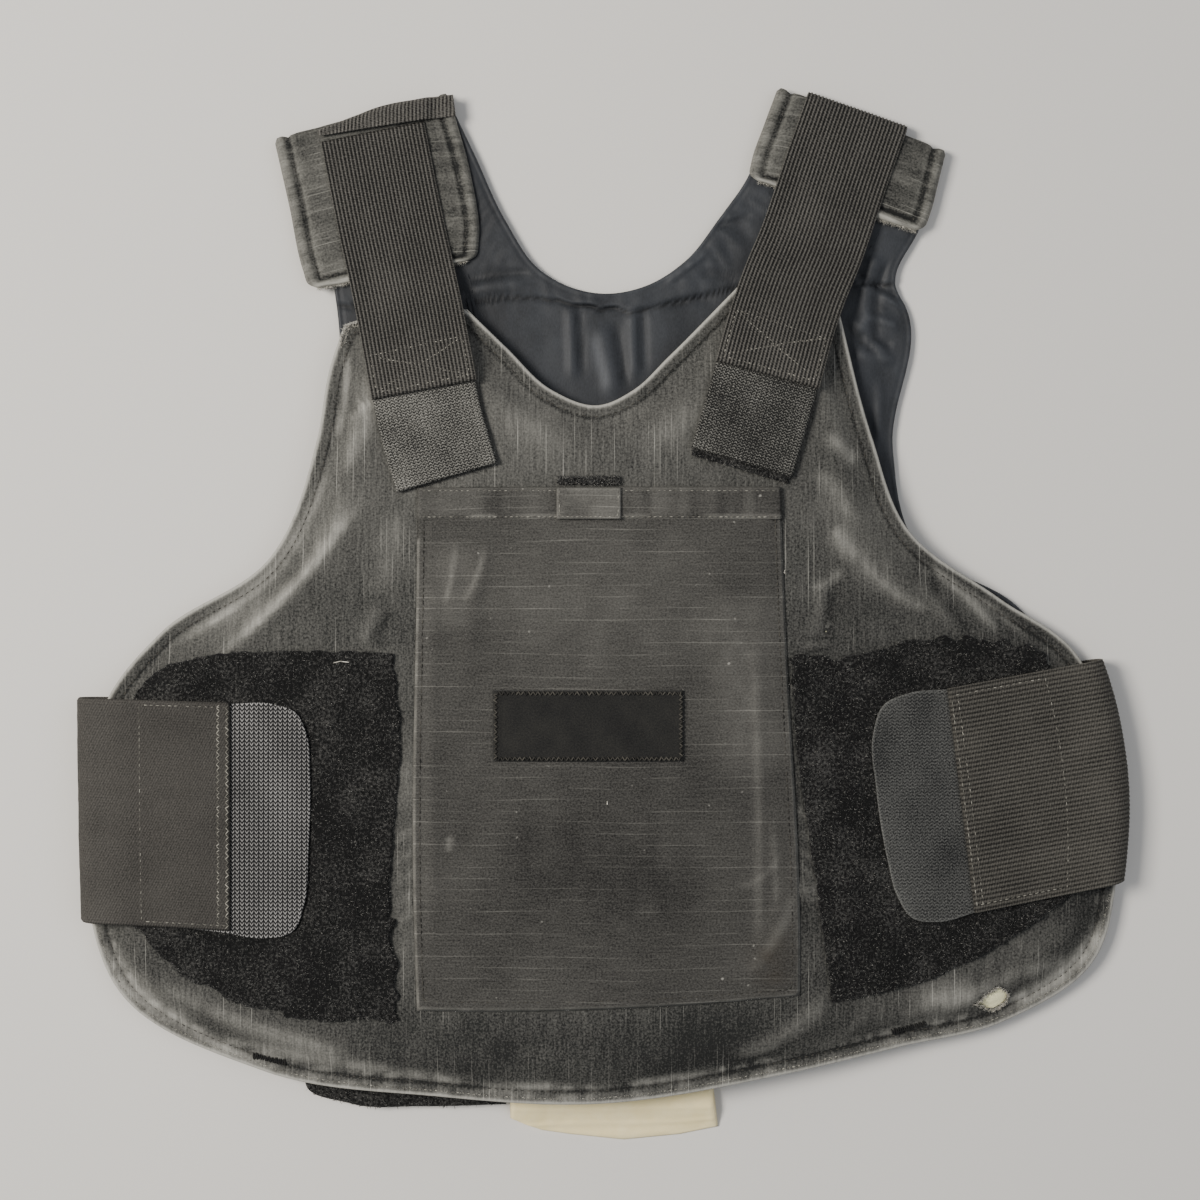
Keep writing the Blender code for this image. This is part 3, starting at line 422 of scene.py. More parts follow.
print("grain has", len(grain()[0]), "points")

# %% [markdown]
# ## Materials
# Every finish is cloth, so each is a Principled shader with no metal, high roughness and a little
# sheen for the nap. What tells them apart is colour, weave and wear. A weave is drawn in the UV map's
# metres at its real pitch, or as coarse as it has to be to show. Wear is a value at the points, broken
# up by a finer noise, and it mixes the dark dyed cloth with the pale, rubbed one. On the panels, the
# pocket and the flaps the same value also holds painted shade in creases and stitch grooves. On the
# front, the pocket and the flaps it also holds a painted light falloff that darkens them towards the
# bottom and the right.


# %% Colour and node helpers
def linear(hex_colour):
    """An sRGB hex colour as the linear values that a shader takes."""
    srgb = np.array([int(hex_colour[i : i + 2], 16) for i in (1, 3, 5)]) / 255
    low, high = srgb / 12.92, ((srgb + 0.055) / 1.055) ** 2.4
    return (*np.where(srgb <= 0.04045, low, high).tolist(), 1.0)


def node(tree, kind, inputs=(), out=0, **settings):
    """Adds a node, sets its properties, fills its inputs with values or with sockets, and gives back
    one of its outputs. Inputs come by name, or in order from the first."""
    made = tree.nodes.new("ShaderNode" + kind)
    for key, value in settings.items():
        setattr(made, key, value)
    for key, value in inputs.items() if isinstance(inputs, dict) else enumerate(inputs):
        if isinstance(value, bpy.types.NodeSocket):
            tree.links.new(value, made.inputs[key])
        else:
            made.inputs[key].default_value = value
    return made.outputs[out]


def start(name, roughness, sheen, sheen_tint="#ffffff", specular=0.3):
    """A new material and its node tree, with the cloth's UV coordinates and its value of wear and painted
    shade.
    """
    made = bpy.data.materials.new(name)
    made.use_nodes = True
    tree = made.node_tree
    shader = tree.nodes["Principled BSDF"]
    shader.inputs["Roughness"].default_value = roughness
    shader.inputs["Metallic"].default_value = 0.0
    shader.inputs["Specular IOR Level"].default_value = specular
    shader.inputs["Sheen Weight"].default_value = sheen
    shader.inputs["Sheen Roughness"].default_value = 0.5
    shader.inputs["Sheen Tint"].default_value = linear(sheen_tint)
    uv = node(tree, "UVMap", uv_map="cloth")
    wear_and_shade = node(tree, "Attribute", out="Fac", attribute_name="wear_and_shade")
    return made, tree, uv, wear_and_shade


def dyed(tree, share, dark, pale):
    """A colour from the dyed tone to the rubbed one by a share, which is held between 0 and 1."""
    held = node(tree, "Math", (share, 0.0), operation="ADD", use_clamp=True)
    return node(tree, "Mix", {0: held, 6: linear(dark), 7: linear(pale)}, out=2, data_type="RGBA")


def finish(made, colour, height=None, strength=0.0, depth=0.0):
    """Gives a cloth its colour and its fine relief: bumps from a height between 0 and 1, a given depth
    in metres."""
    tree = made.node_tree
    shader = tree.nodes["Principled BSDF"]
    tree.links.new(colour, shader.inputs["Base Color"])
    if height is not None:
        bump = node(tree, "Bump", {"Height": height, "Strength": strength, "Distance": depth})
        tree.links.new(bump, shader.inputs["Normal"])
    return made


# %% [markdown]
# ### Carrier cloth
# The carrier is a plain-woven polyester and cotton cloth, dyed charcoal and washed for years. A
# thicker yarn runs up it every few millimetres, and it shows as a pale hairline where it is rubbed.
# Rubbing has also taken the dye off the hems and the tops of the folds, down to a chalky grey. On the
# front panel and the flaps, creases and stitch grooves are darkened as painted shade, and a painted
# light falloff makes them darker towards the bottom and the right.


# %% Faded carrier cloth
def carrier_cloth(name, dark, pale, axis="X"):
    """Dyed and rubbed tones by the wear value, which streaks along the yarns. The grain is 1 mm,
    coarser than the real 0.4 mm so that it shows. Thick yarns are narrow peaks of the distance to the
    nearest of their lines."""
    made, tree, uv, wear_and_shade = start(name, 0.88, 0.05, "#b8b4a8")
    along, across, streaky = (370, 20, 1), (1300, 420, 1), (760, 60, 1)
    if axis == "Y":
        along, across, streaky = (20, 370, 1), (420, 1300, 1), (60, 760, 1)
    grain = node(tree, "Mapping", {"Vector": uv, "Scale": (950, 950, 1)})
    grain = node(tree, "TexNoise", {"Vector": grain, "Scale": 1.0, "Detail": 2.0, "Roughness": 0.7})
    yarns = node(tree, "Mapping", {"Vector": uv, "Scale": across})
    yarns = node(tree, "TexNoise", {"Vector": yarns, "Scale": 1.0, "Detail": 3.0, "Roughness": 0.6})
    broken = node(tree, "Mapping", {"Vector": uv, "Scale": along})
    broken = node(tree, "TexNoise", {"Vector": broken, "Scale": 1.0, "Detail": 2.0, "Roughness": 0.5})
    streak = node(tree, "Mapping", {"Vector": uv, "Scale": streaky})
    streak = node(tree, "TexNoise", {"Vector": streak, "Scale": 1.0, "Detail": 2.0, "Roughness": 0.6})
    turns = node(
        tree, "Math", (node(tree, "SeparateXYZ", (uv,), axis), HAIRLINE_PITCH * MM), operation="DIVIDE"
    )
    away = node(tree, "Math", (turns, 0.5), operation="PINGPONG")
    line = node(tree, "Math", (away, -11.0, 1.0), operation="MULTIPLY_ADD", use_clamp=True)
    shown = node(tree, "Math", (broken, 0.53), operation="SUBTRACT", use_clamp=True)
    visible = node(tree, "Math", (wear_and_shade, 8.0, 1.4), operation="MULTIPLY_ADD")
    shown = node(tree, "Math", (shown, visible), operation="MULTIPLY")
    unequal = node(tree, "Math", (streak, 0.7, 0.65), operation="MULTIPLY_ADD")
    rubbed = node(tree, "Math", (wear_and_shade, unequal), operation="MULTIPLY")
    share = node(tree, "Math", (line, shown, rubbed), operation="MULTIPLY_ADD")
    share = node(tree, "Math", (grain, 0.55, share), operation="MULTIPLY_ADD")
    share = node(tree, "Math", (yarns, 0.25, share), operation="MULTIPLY_ADD")
    share = node(tree, "Math", (share, 0.59), operation="SUBTRACT")
    height = node(tree, "Math", (line, 0.6, grain), operation="MULTIPLY_ADD")
    return finish(made, dyed(tree, share, dark, pale), height, 0.3, 0.0004)


faded_cloth = carrier_cloth("faded_poly_cotton_cloth", "#181918", "#a4a29a")
flap_cloth = carrier_cloth("faded_shoulder_cloth", "#161716", "#a3a198", "Y")
print(faded_cloth.name, "and", flap_cloth.name, "ready")

# %% [markdown]
# ### Pocket ripstop
# Ripstop has a thicker yarn every few millimetres, both ways, to stop a tear. Here the crosswise
# yarns stand out as fine ridges 5.3 mm apart, and the lengthwise ones hardly show. The cloth is a
# browner grey than the carrier and worn in patches.


# %% Pocket ripstop
def ripstop(name, dark, pale):
    """A grained cloth with raised yarns: a narrow peak of the distance to the nearest line. The lines
    show only in rubbed patches, and their places wander by a slow noise, as the cloth is not flat."""
    made, tree, uv, wear_and_shade = start(name, 0.88, 0.04, "#a8a49a")
    stain = node(tree, "Attribute", out="Fac", attribute_name="stain")
    wander = node(tree, "TexNoise", {"Vector": uv, "Scale": 11.0, "Detail": 1.0})
    rows = node(tree, "Math", (node(tree, "SeparateXYZ", (uv,), "Y"), RIPSTOP_PITCH * MM), operation="DIVIDE")
    rows = node(tree, "Math", (wander, 0.9, rows), operation="MULTIPLY_ADD")
    away = node(tree, "Math", (rows, 0.5), operation="PINGPONG")
    rib = node(tree, "Math", (away, -17.0, 1.0), operation="MULTIPLY_ADD", use_clamp=True)
    patches = node(tree, "Mapping", {"Vector": uv, "Scale": (26, 190, 1)})
    patches = node(tree, "TexNoise", {"Vector": patches, "Scale": 1.0, "Detail": 2.0, "Roughness": 0.5})
    shown = node(tree, "Math", (patches, 0.42), operation="SUBTRACT", use_clamp=True)
    visible = node(tree, "Math", (wear_and_shade, 5.0, -0.3), operation="MULTIPLY_ADD")
    shown = node(tree, "Math", (shown, visible), operation="MULTIPLY")
    grain = node(tree, "Mapping", {"Vector": uv, "Scale": (1000, 1150, 1)})
    grain = node(tree, "TexNoise", {"Vector": grain, "Scale": 1.0, "Detail": 2.0, "Roughness": 0.75})
    weft = node(tree, "Mapping", {"Vector": uv, "Scale": (80, 1300, 1)})
    weft = node(tree, "TexNoise", {"Vector": weft, "Scale": 1.0, "Detail": 2.0, "Roughness": 0.6})
    share = node(tree, "Math", (rib, shown, wear_and_shade), operation="MULTIPLY_ADD")
    share = node(tree, "Math", (grain, 0.62, share), operation="MULTIPLY_ADD")
    share = node(tree, "Math", (weft, 0.16, share), operation="MULTIPLY_ADD")
    speck = node(tree, "TexNoise", {"Vector": uv, "Scale": 330.0, "Detail": 0.0})
    speck = node(tree, "Math", (speck, 0.835), operation="SUBTRACT", use_clamp=True)
    share = node(tree, "Math", (speck, 9.0, share), operation="MULTIPLY_ADD")
    colour = dyed(tree, node(tree, "Math", (share, 0.54), operation="SUBTRACT"), dark, pale)
    colour = node(tree, "Mix", {0: stain, 6: colour, 7: linear("#352c20")}, out=2, data_type="RGBA")
    height = node(tree, "Math", (rib, 0.8, grain), operation="MULTIPLY_ADD")
    return finish(made, colour, height, 0.3, 0.0004)


pocket_cloth = ripstop("pocket_ripstop_cloth", "#171615", "#8c8a83")
print(pocket_cloth.name, "ready")

# %% [markdown]
# ### Lining
# The inside of the back panel is a smooth nylon taffeta, nearly black with a little navy, and tightly
# woven. It is smoother than the other cloths, so the light slides along its folds.


# %% Navy taffeta
def lining_cloth():
    """Two dark tones in soft clouds, a faint cross weave and less roughness than the other cloths."""
    made, tree, uv, wear_and_shade = start("navy_nylon_taffeta", 0.58, 0.05, "#8d93a0", 0.35)
    cloud = node(tree, "Mapping", {"Vector": uv, "Scale": (70, 28, 1)})
    cloud = node(tree, "TexNoise", {"Vector": cloud, "Scale": 1.0, "Detail": 4.0, "Roughness": 0.6})
    weave = node(tree, "Mapping", {"Vector": uv, "Scale": (1500, 600, 1)})
    weave = node(tree, "TexNoise", {"Vector": weave, "Scale": 1.0, "Detail": 2.0, "Roughness": 0.6})
    share = node(tree, "Math", (cloud, 0.4, wear_and_shade), operation="MULTIPLY_ADD")
    share = node(tree, "Math", (weave, 0.25, share), operation="MULTIPLY_ADD")
    share = node(tree, "Math", (share, 0.32), operation="SUBTRACT")
    return finish(made, dyed(tree, share, "#0e1013", "#5b5f65"), weave, 0.15, 0.0003)


lining = lining_cloth()
print(lining.name, "ready")

# %% [markdown]
# ### Elastic webbing
# Woven elastic has cords of rubber that run its length under a ribbed weave. The ribs are real relief
# in the mesh, and the shader also paints their crests paler and the gaps between them darker, as
# painted light and shade. It adds the crosswise picks between them, about a millimetre apart, which
# catch the light as rows of dots, and a little brown in the black.


# %% Woven elastic
def elastic(name, dark, pale, pick_pitch, rib_pitch, ribs, picks):
    """Cord crests are painted paler and the gaps between them darker, as painted light and shade on the
    ribs, and picks cross them at their own pitch, half a pick out of step from cord to cord."""
    made, tree, uv, wear_and_shade = start(name, 0.9, 0.05, "#9c968c")
    across, along = node(tree, "SeparateXYZ", (uv,), "X"), node(tree, "SeparateXYZ", (uv,), "Y")
    turns = node(tree, "Math", (across, 2 * math.pi / rib_pitch), operation="MULTIPLY")
    rib = node(tree, "Math", (turns,), operation="COSINE")
    steps = node(tree, "Math", (along, 2 * math.pi / pick_pitch), operation="MULTIPLY")
    pick = node(tree, "Math", (turns, 0.5, steps), operation="MULTIPLY_ADD")
    pick = node(tree, "Math", (pick,), operation="COSINE")
    grain = node(tree, "Mapping", {"Vector": uv, "Scale": (1200, 1000, 1)})
    grain = node(tree, "TexNoise", {"Vector": grain, "Scale": 1.0, "Detail": 2.0, "Roughness": 0.75})
    broad = node(tree, "Mapping", {"Vector": uv, "Scale": (60, 22, 1)})
    broad = node(tree, "TexNoise", {"Vector": broad, "Scale": 1.0, "Detail": 3.0, "Roughness": 0.6})
    # Painted light and shade on the ribs: crests paler, gaps darker.
    share = node(tree, "Math", (rib, ribs, wear_and_shade), operation="MULTIPLY_ADD")
    share = node(tree, "Math", (pick, picks, share), operation="MULTIPLY_ADD")
    share = node(tree, "Math", (grain, 1.3, share), operation="MULTIPLY_ADD")
    share = node(tree, "Math", (broad, 0.25, share), operation="MULTIPLY_ADD")
    share = node(tree, "Math", (share, 0.775), operation="SUBTRACT")
    height = node(tree, "Math", (pick, 0.4, grain), operation="MULTIPLY_ADD")
    return finish(made, dyed(tree, share, dark, pale), height, 0.5, 0.0005)


shoulder_elastic = elastic(
    "ribbed_polyester_elastic", "#0b0b0a", "#74716b", 0.0012, RIB_PITCH * MM, 0.28, 0.08
)
side_elastic = elastic("fine_woven_elastic", "#161513", "#5b5853", 0.0013, 0.0013, 0.05, 0.06)
corded_elastic = elastic("corded_woven_elastic", "#131210", "#64615a", 0.0013, CORD_PITCH * MM, 0.24, 0.05)
print("three elastics ready")

# %% [markdown]
# ### Hook tape
# The tabs are hook tape, seen from its woven back. The side tab on the left shows rows of slanted
# yarns, like a row of plaits about 2 mm wide. The one on the right is a fine dark twill, and the
# shoulder tabs are a paler herringbone.


# %% Hook tape backs
def plaited(name, dark, pale, pitch, row_pitch, slant, stripes, gutter, level, speckle=0.8):
    """Chains of slanted yarns. A fold of the column coordinate makes each chain a V, stripes follow
    it, and the gaps between the chains are darkened as painted shade."""
    made, tree, uv, wear_and_shade = start(name, 0.85, 0.05, "#b6b5b0")
    column = node(tree, "Math", (node(tree, "SeparateXYZ", (uv,), "X"), pitch / 2), operation="DIVIDE")
    across = node(tree, "Math", (column, 1.0), operation="PINGPONG")
    row = node(tree, "SeparateXYZ", (uv,), "Y")
    row = node(tree, "Math", (row, 2 * math.pi / row_pitch), operation="MULTIPLY")
    slope = node(tree, "Math", (across, 2 * math.pi * slant, row), operation="MULTIPLY_ADD")
    stripe = node(tree, "Math", (slope,), operation="SINE")
    grain = node(tree, "Mapping", {"Vector": uv, "Scale": (1300, 1300, 1)})
    grain = node(tree, "TexNoise", {"Vector": grain, "Scale": 1.0, "Detail": 2.0, "Roughness": 0.7})
    broad = node(tree, "Mapping", {"Vector": uv, "Scale": (40, 28, 1)})
    broad = node(tree, "TexNoise", {"Vector": broad, "Scale": 1.0, "Detail": 2.0, "Roughness": 0.5})
    chain = node(tree, "Math", (across, 3.0, 0.0), operation="MULTIPLY_ADD", use_clamp=True)
    share = node(tree, "Math", (stripe, stripes, wear_and_shade), operation="MULTIPLY_ADD")
    # Painted shade in the gaps between the chains.
    share = node(tree, "Math", (chain, gutter, share), operation="MULTIPLY_ADD")
    share = node(tree, "Math", (grain, speckle, share), operation="MULTIPLY_ADD")
    share = node(tree, "Math", (broad, 0.4, share), operation="MULTIPLY_ADD")
    less = 0.2 + speckle / 2 + gutter * 0.83 - level
    share = node(tree, "Math", (share, less), operation="SUBTRACT")
    height = node(tree, "Math", (stripe, 0.5, grain), operation="MULTIPLY_ADD")
    height = node(tree, "Math", (chain, gutter, height), operation="MULTIPLY_ADD")
    return finish(made, dyed(tree, share, dark, pale), height, 0.5, 0.0005)


plait_tape = plaited("plaited_hook_tape", "#0d0d0f", "#acaaa7", 0.0023, 0.0019, 0.85, 0.52, 0.80, 0.0)
twill_tape = plaited("twill_hook_tape", "#111213", "#73736f", 0.0024, 0.0016, 0.6, 0.14, 0.0, 0.23, 1.7)
shoulder_tape = plaited(
    "herringbone_hook_tape", "#0f0f0e", "#a2a098", 0.0021, 0.0014, 0.7, 0.24, 0.18, 0.21, 2.0
)
print("three tapes ready")

# %% [markdown]
# ### Pile, label, patch and thread
# Loop pile is a mat of fine nylon loops. Its base is nearly black, and the fibres on it are a
# separate piece whose tint varies, so some catch the light. The label is a cream satin ribbon that
# has yellowed and creased. The patch is a tight black weave. Thread is spun polyester.


# %% Pile, label, patch and thread materials
def speckled(name, dark, pale, roughness, sheen, per_metre, depth, contrast=1.0):
    """Cloth whose colour and bump come from one fine noise, mixed with a broad one."""
    made, tree, uv, wear_and_shade = start(name, roughness, sheen)
    fine = node(tree, "TexNoise", {"Vector": uv, "Scale": per_metre, "Detail": 3.0, "Roughness": 0.75})
    broad = node(tree, "TexNoise", {"Vector": uv, "Scale": 55.0, "Detail": 2.0, "Roughness": 0.6})
    share = node(tree, "Math", (fine, 1.6 * contrast, wear_and_shade), operation="MULTIPLY_ADD")
    share = node(tree, "Math", (broad, 0.5 * contrast, share), operation="MULTIPLY_ADD")
    share = node(tree, "Math", (share, 1.05 * contrast), operation="SUBTRACT")
    return finish(made, dyed(tree, share, dark, pale), fine, 0.6, depth)


def tinted(name, dark, pale, roughness, sheen):
    """Thread or fibre: each copy's tint value picks a tone between two."""
    made, tree, *_ = start(name, roughness, sheen)
    tint = node(tree, "Attribute", out="Fac", attribute_name="tint")
    return finish(made, dyed(tree, tint, dark, pale))


pile_base = speckled("nylon_loop_pile", "#070707", "#5b5a57", 1.0, 0.05, 720, 0.001, 1.7)
pile_fibre = tinted("nylon_pile_fibre", "#0a0a0a", "#94928c", 0.85, 0.05)
label_cloth = speckled("cream_satin_label", "#efdb9c", "#faedc2", 0.5, 0.1, 260, 0.0003, 0.4)
patch_cloth = speckled("woven_patch_cloth", "#0d0d0e", "#35342f", 0.85, 0.05, 1300, 0.0004)
pack_cover = speckled("cream_pack_cover", "#d9d3a6", "#f3eec4", 0.7, 0.1, 500, 0.0003, 0.5)
dark_thread = tinted("dark_polyester_thread", "#151412", "#4b4841", 0.8, 0.05)
black_thread = tinted("black_polyester_thread", "#080808", "#1c1b19", 0.8, 0.05)
grey_thread = tinted("grey_polyester_thread", "#4a4842", "#a09d92", 0.8, 0.05)
pale_thread = tinted("pale_frayed_thread", "#9b978b", "#e8e4d8", 0.8, 0.1)
print("pile, label, patch and thread ready")

# %% [markdown]
# ## Shapes of the two panels
# The front panel keeps the low arch of the body it was worn on, and everything that lies on it
# follows that arch. The back panel is flat, with thinner shoulders. Both have a flat sewn hem and a
# bevel from there up to the armour pack's edge. The tables give the outlines, as in the part's source.

# %% Outlines of the panels
FRONT_EDGE = (
    Row("neck, lowest point", -2, 100),
    Row("neck, left curve", -24, 107),
    Row("neck, left flank", -46, 127.5),
    Row("left shoulder, neck corner", -65, 146, "corner"),
    Row("left shoulder, top", -97, 147),
    Row("left shoulder, arm corner", -124, 139, "corner"),
    Row("left armhole, under the shoulder", -131, 118),
    Row("left armhole, middle", -137, 84),
    Row("left armhole, turn", -159, 28),
    Row("left armhole, foot", -213, -9),
    Row("left wing, top", -238, -40),
    Row("left wing, side", -245.8, -104),
    Row("left wing, lower side", -245.8, -148),
    Row("left wing, lower corner", -236, -176),
    Row("bottom, left quarter", -164, -218),
    Row("bottom, left of middle", -78, -229),
    Row("bottom, middle", -6, -232),
    Row("bottom, right of middle", 84, -219),
    Row("bottom, at the label's right", 142, -206.5),
    Row("bottom, right quarter", 193, -195),
    Row("right wing, lower corner", 238, -163),
    Row("right wing, lower side", 246, -133),
    Row("right wing, side", 244, -84),
    Row("right wing, top", 226, -17),
    Row("right armhole, foot", 190, 8),
    Row("right armhole, turn", 145, 42),
    Row("right armhole, middle", 129, 84),
    Row("right shoulder, arm corner", 112.5, 147.5, "corner"),
    Row("right shoulder, top", 88, 158),
    Row("right shoulder, neck corner", 64, 156.5, "corner"),
    Row("neck, right flank", 31, 123),
    Row("neck, right curve", 14, 107),
)
BACK_EDGE = (
    Row("neck, lowest point", 0, 155),
    Row("neck, left curve", -30, 166),
    Row("neck, left flank", -47, 190),
    Row("left shoulder, neck side", -62, 222),
    Row("left shoulder, top neck corner", -74, 247.0, "corner"),
    Row("left shoulder, top arm corner", -150, 227.0, "corner"),
    Row("left shoulder, arm side", -130, 158),
    Row("left armhole, upper", -127, 125),
    Row("left armhole, turn", -152, 32),
    Row("left armhole, foot", -205, -8),
    Row("left wing, top", -232, -45),
    Row("left wing, side", -239, -104),
    Row("left wing, lower corner", -226, -172),
    Row("bottom, left quarter", -160, -212),
    Row("bottom, middle", -4, -232),
    Row("bottom, right quarter", 160, -198),
    Row("right wing, lower corner", 226, -168),
    Row("right wing, side", 239, -104),
    Row("right wing, top", 225, -26),
    Row("right armhole, foot", 200, 4),
    Row("right armhole, turn", 150, 36),
    Row("right armhole, middle", 140, 80),
    Row("right shoulder, gathered bump", 146.5, 148),
    Row("right shoulder, notch", 141.5, 158),
    Row("right shoulder, arm side", 153, 187),
    Row("right shoulder, top arm corner", 162, 219.0, "corner"),
    Row("right shoulder, top neck corner", 84, 249.0, "corner"),
    Row("right shoulder, neck side", 68, 208),
    Row("neck, right step", 57, 192.5, "corner"),
    Row("neck, right flank", 40, 171),
    Row("neck, right curve", 20, 158.5),
)


# %% Heights of the panels
def arch(x, y):
    """The front's rise over flat: nothing at the sides, most at the middle, less at the shoulders."""
    lines_x, lines_y = np.array(ARCH_LINES_X, float), np.array(ARCH_LINES_Y, float)
    across = np.clip(1 - (lines_x / ARCH_HALF) ** 2, 0, 1) ** 1.5
    kept = 1 - (1 - ARCH_LEFT_AT_SHOULDER) * ease((lines_y - lines_y[0]) / np.ptp(lines_y))
    return ARCH_RISE * np.interp(x, lines_x, across) * np.interp(y, lines_y, kept)


def front_face(x, y):
    """The front panel's top where it is full."""
    return FRONT_BASE + arch(x, y) + FRONT_THICK


FRONT = closed_curve(FRONT_EDGE)
BACK = closed_curve(BACK_EDGE)
print("edge lengths, mm:", len(FRONT) * 1.6, len(BACK) * 1.6)

# %% [markdown]
# ## Back panel
# Only its lining shows, above the front's neckline and beside the right shoulder. The neckline is
# bound and gathered, so short folds run away from it, and long pleats hang from the gathers. The
# underside is the outer carrier cloth in real life, and it is finished as plain cloth that lies flat.

# %% The back panel's folds and mesh
BACK_FOLDS = (
    Fold("facing, left fold", -66, 160, -34, 165, 1.5, 1.6, -1.2),
    Fold("facing, left ridge", -66, 156, -36, 159, 1.5, 2.2, 0.9),
    Fold("left neck pleat", -16, 152, -14.5, 112, 0, 2.2, 1.5),
    Fold("left pleat's crease", -11.5, 150, -10, 114, 0, 1.8, -1.0),
    Fold("middle pleat", -2, 141, 5, 104, 1, 4.0, 1.5),
    Fold("middle pleat's crease", 5, 142, 11, 108, 1, 2.4, -1.1),
    Fold("right neck pleat", 14, 149, 15, 112, 0, 2.4, 1.6),
    Fold("right pleat's crease", 19, 150, 20, 116, 0, 2.0, -1.2),
    Fold("right of neck, slanting", 30, 160, 52, 176, 0, 2.0, 1.2),
    Fold("right of neck, lower", 30, 149, 56, 152, 1, 1.6, -1.3),
    Fold("right of neck, second", 46, 164, 66, 160, 2, 1.6, -1.2),
    Fold("right of neck, third", 36, 172, 50, 184, 1, 1.8, 1.2),
    Fold("right shoulder, crease", 52, 186, 72, 192, 0, 1.6, -1.2),
    Fold("right shoulder, pucker one", 124, 144, 143, 138, 1, 2.4, 1.7),
    Fold("right shoulder, pucker two", 122, 136, 140, 129, 1, 2.0, -1.4),
    Fold("right shoulder, pucker three", 122, 128, 141, 122, -1, 2.6, 1.4),
    Fold("right shoulder, long", 133, 176, 127, 130, -3, 2.6, 1.5),
    Fold("right shoulder, long crease", 138, 172, 133, 132, -3, 1.8, -1.2),
    Fold("right armhole, soft ridge", 133, 116, 131, 70, 1, 2.6, 1.1),
    Fold("right shoulder, deep crease", 115, 141, 134, 120, 1, 1.3, -1.3),
    Fold("right shoulder, the crease's ridge", 118, 143.5, 138, 122.5, 1, 1.9, 1.3),
    Fold("right shoulder, long thin crease", 117, 136, 131, 84, -2, 1.2, -1.1),
    Fold("right shoulder, upper fold", 118, 161, 145, 147, 1, 1.8, 1.4),
    Fold("right shoulder, above the fold", 119, 165, 146, 151, 1, 1.4, -1.2),
)


FACING_LINE = (
    (-90, 149.5),
    (-67, 151),
    (-48, 153.5),
    (-30, 153.6),
    (-11, 149.5),
    (13, 147),
    (28, 149.8),
    (49, 155),
    (70, 160),
)


def above_facing(x, y):
    """Distance above the lower edge of the neck facing, whose middle is ragged with gathers."""
    places, heights = zip(*FACING_LINE)
    ragged = 1.3 * noise(x, y * 0, 3.5, 25) * bell(x - 2, 30)
    return y - np.interp(x, places, heights) - ragged


def back_bottom(x, y, d):
    """Flat on the surface, lifted at the hem where straps are sewn under it."""
    return BACK_EDGE_LIFT * (1 - ease((d - BACK_HEM) / (BACK_BEVEL_END - BACK_HEM)))


def back_top(x, y, d):
    """Hem, bevel and full thickness, thinner at the shoulders, with gathers at the neckline."""
    body = BACK_THICK + (SHOULDER_THICK - BACK_THICK) * ease((y - 112.0) / 40.0)
    level = SHOULDER_THICK + (body - SHOULDER_THICK) * ease((d - BACK_HEM) / (BACK_BEVEL_END - BACK_HEM))
    over = above_facing(x, y)
    facing = 0.7 * ease(over / 0.9 + 0.5) - 0.9 * bell(over + 0.9, 0.9)
    gathered = bell(x + 4, 40) * bell(over - 1, 6.0)
    gathers = 0.55 * noise(x + 0.15 * y, y * 0.12, (2.6, 3), 27) * gathered
    angle = np.arctan2(y - 235, x)
    right_side = ease((x - 22) / 20) * bell(d - 10, 9) * ease((y - 140) / 12)
    left_side = ease((-x - 36) / 16) * bell(d - 9, 9) * ease((y - 160) / 12)
    puckers = noise(angle * 60, d, (1.7, 9), 29) * (0.7 * right_side + 0.45 * left_side)
    edge_line = -0.35 * bell(d - 2.4, 0.6)
    soft = 0.5 * rough(x, y, 34, 11) + 0.25 * rough(x, y, 9, 15)
    shown = ease((y - 60) / 40)
    return level + edge_line + shown * (facing + gathers + puckers + soft + relief(x, y, BACK_FOLDS))


def back_values(x, y, d, on_top):
    """Wear and painted light: paler at the bound edge, painted light on fold crests and painted shade
    in the creases, painted shade under the facing's edge with a painted highlight on its lip, one
    pale smear.
    """
    # Painted light on the fold crests and painted shade in the creases.
    crests = np.clip(relief(x, y, BACK_FOLDS), -1, 2) * 0.06
    edge = 0.16 * bell(d, 1.6) * (0.6 + 0.6 * noise(x, y, 4, 23))
    over = above_facing(x, y)
    # Painted shade under the facing's edge, and a painted highlight just above it.
    crease = -0.24 * bell(over + 0.8, 0.8) + 0.08 * bell(over - 0.6, 0.8)
    smear = relief(x, y, (Fold("pale smear", -5.5, 135, 2, 106, 0.5, 2.2, 0.22),))
    left = -0.05 * ease((-x - 30) / 30)
    return {"wear_and_shade": 0.17 + crests + edge + crease + smear + left + 0.07 * rough(x, y, 26, 21)}


EDGE_DEPTHS = np.array(
    [0, 0.12, 0.4, 0.8, 1.3, 2, 3, 4, 5, 5.7, 6.3, 6.9, 7.6, 8.6, 10, 11.5, 13, 15, 17, 19, 21, 23.5]
)
INNER_DEPTHS = np.concatenate([np.arange(26, 80, 2.6), np.arange(82, 190, 9)])
UNDER_DEPTHS = np.array([0, 0.4, 1.3, 4, 9, 13, 18, 22, 40, 80, 130, 190])
back_pole = np.array([-1.5, -65.0])


def ring_depths(curve, pole):
    """Depths of a panel's rings, above and below: dense at the edge, wide inside, and the pole last."""
    far = np.linalg.norm(curve - pole, axis=1).mean()
    inner, under = (depths[depths < far - 6] for depths in (INNER_DEPTHS, UNDER_DEPTHS))
    return np.concatenate([EDGE_DEPTHS, inner, [far]]), np.append(under, far)


back_rings = ring_depths(BACK, back_pole)
back_panel = pad(
    "back_panel_lining", BACK, back_pole, *back_rings, back_top, back_bottom, lining, back_values
)
dress(back_panel, "navy_lining", "back_panel")
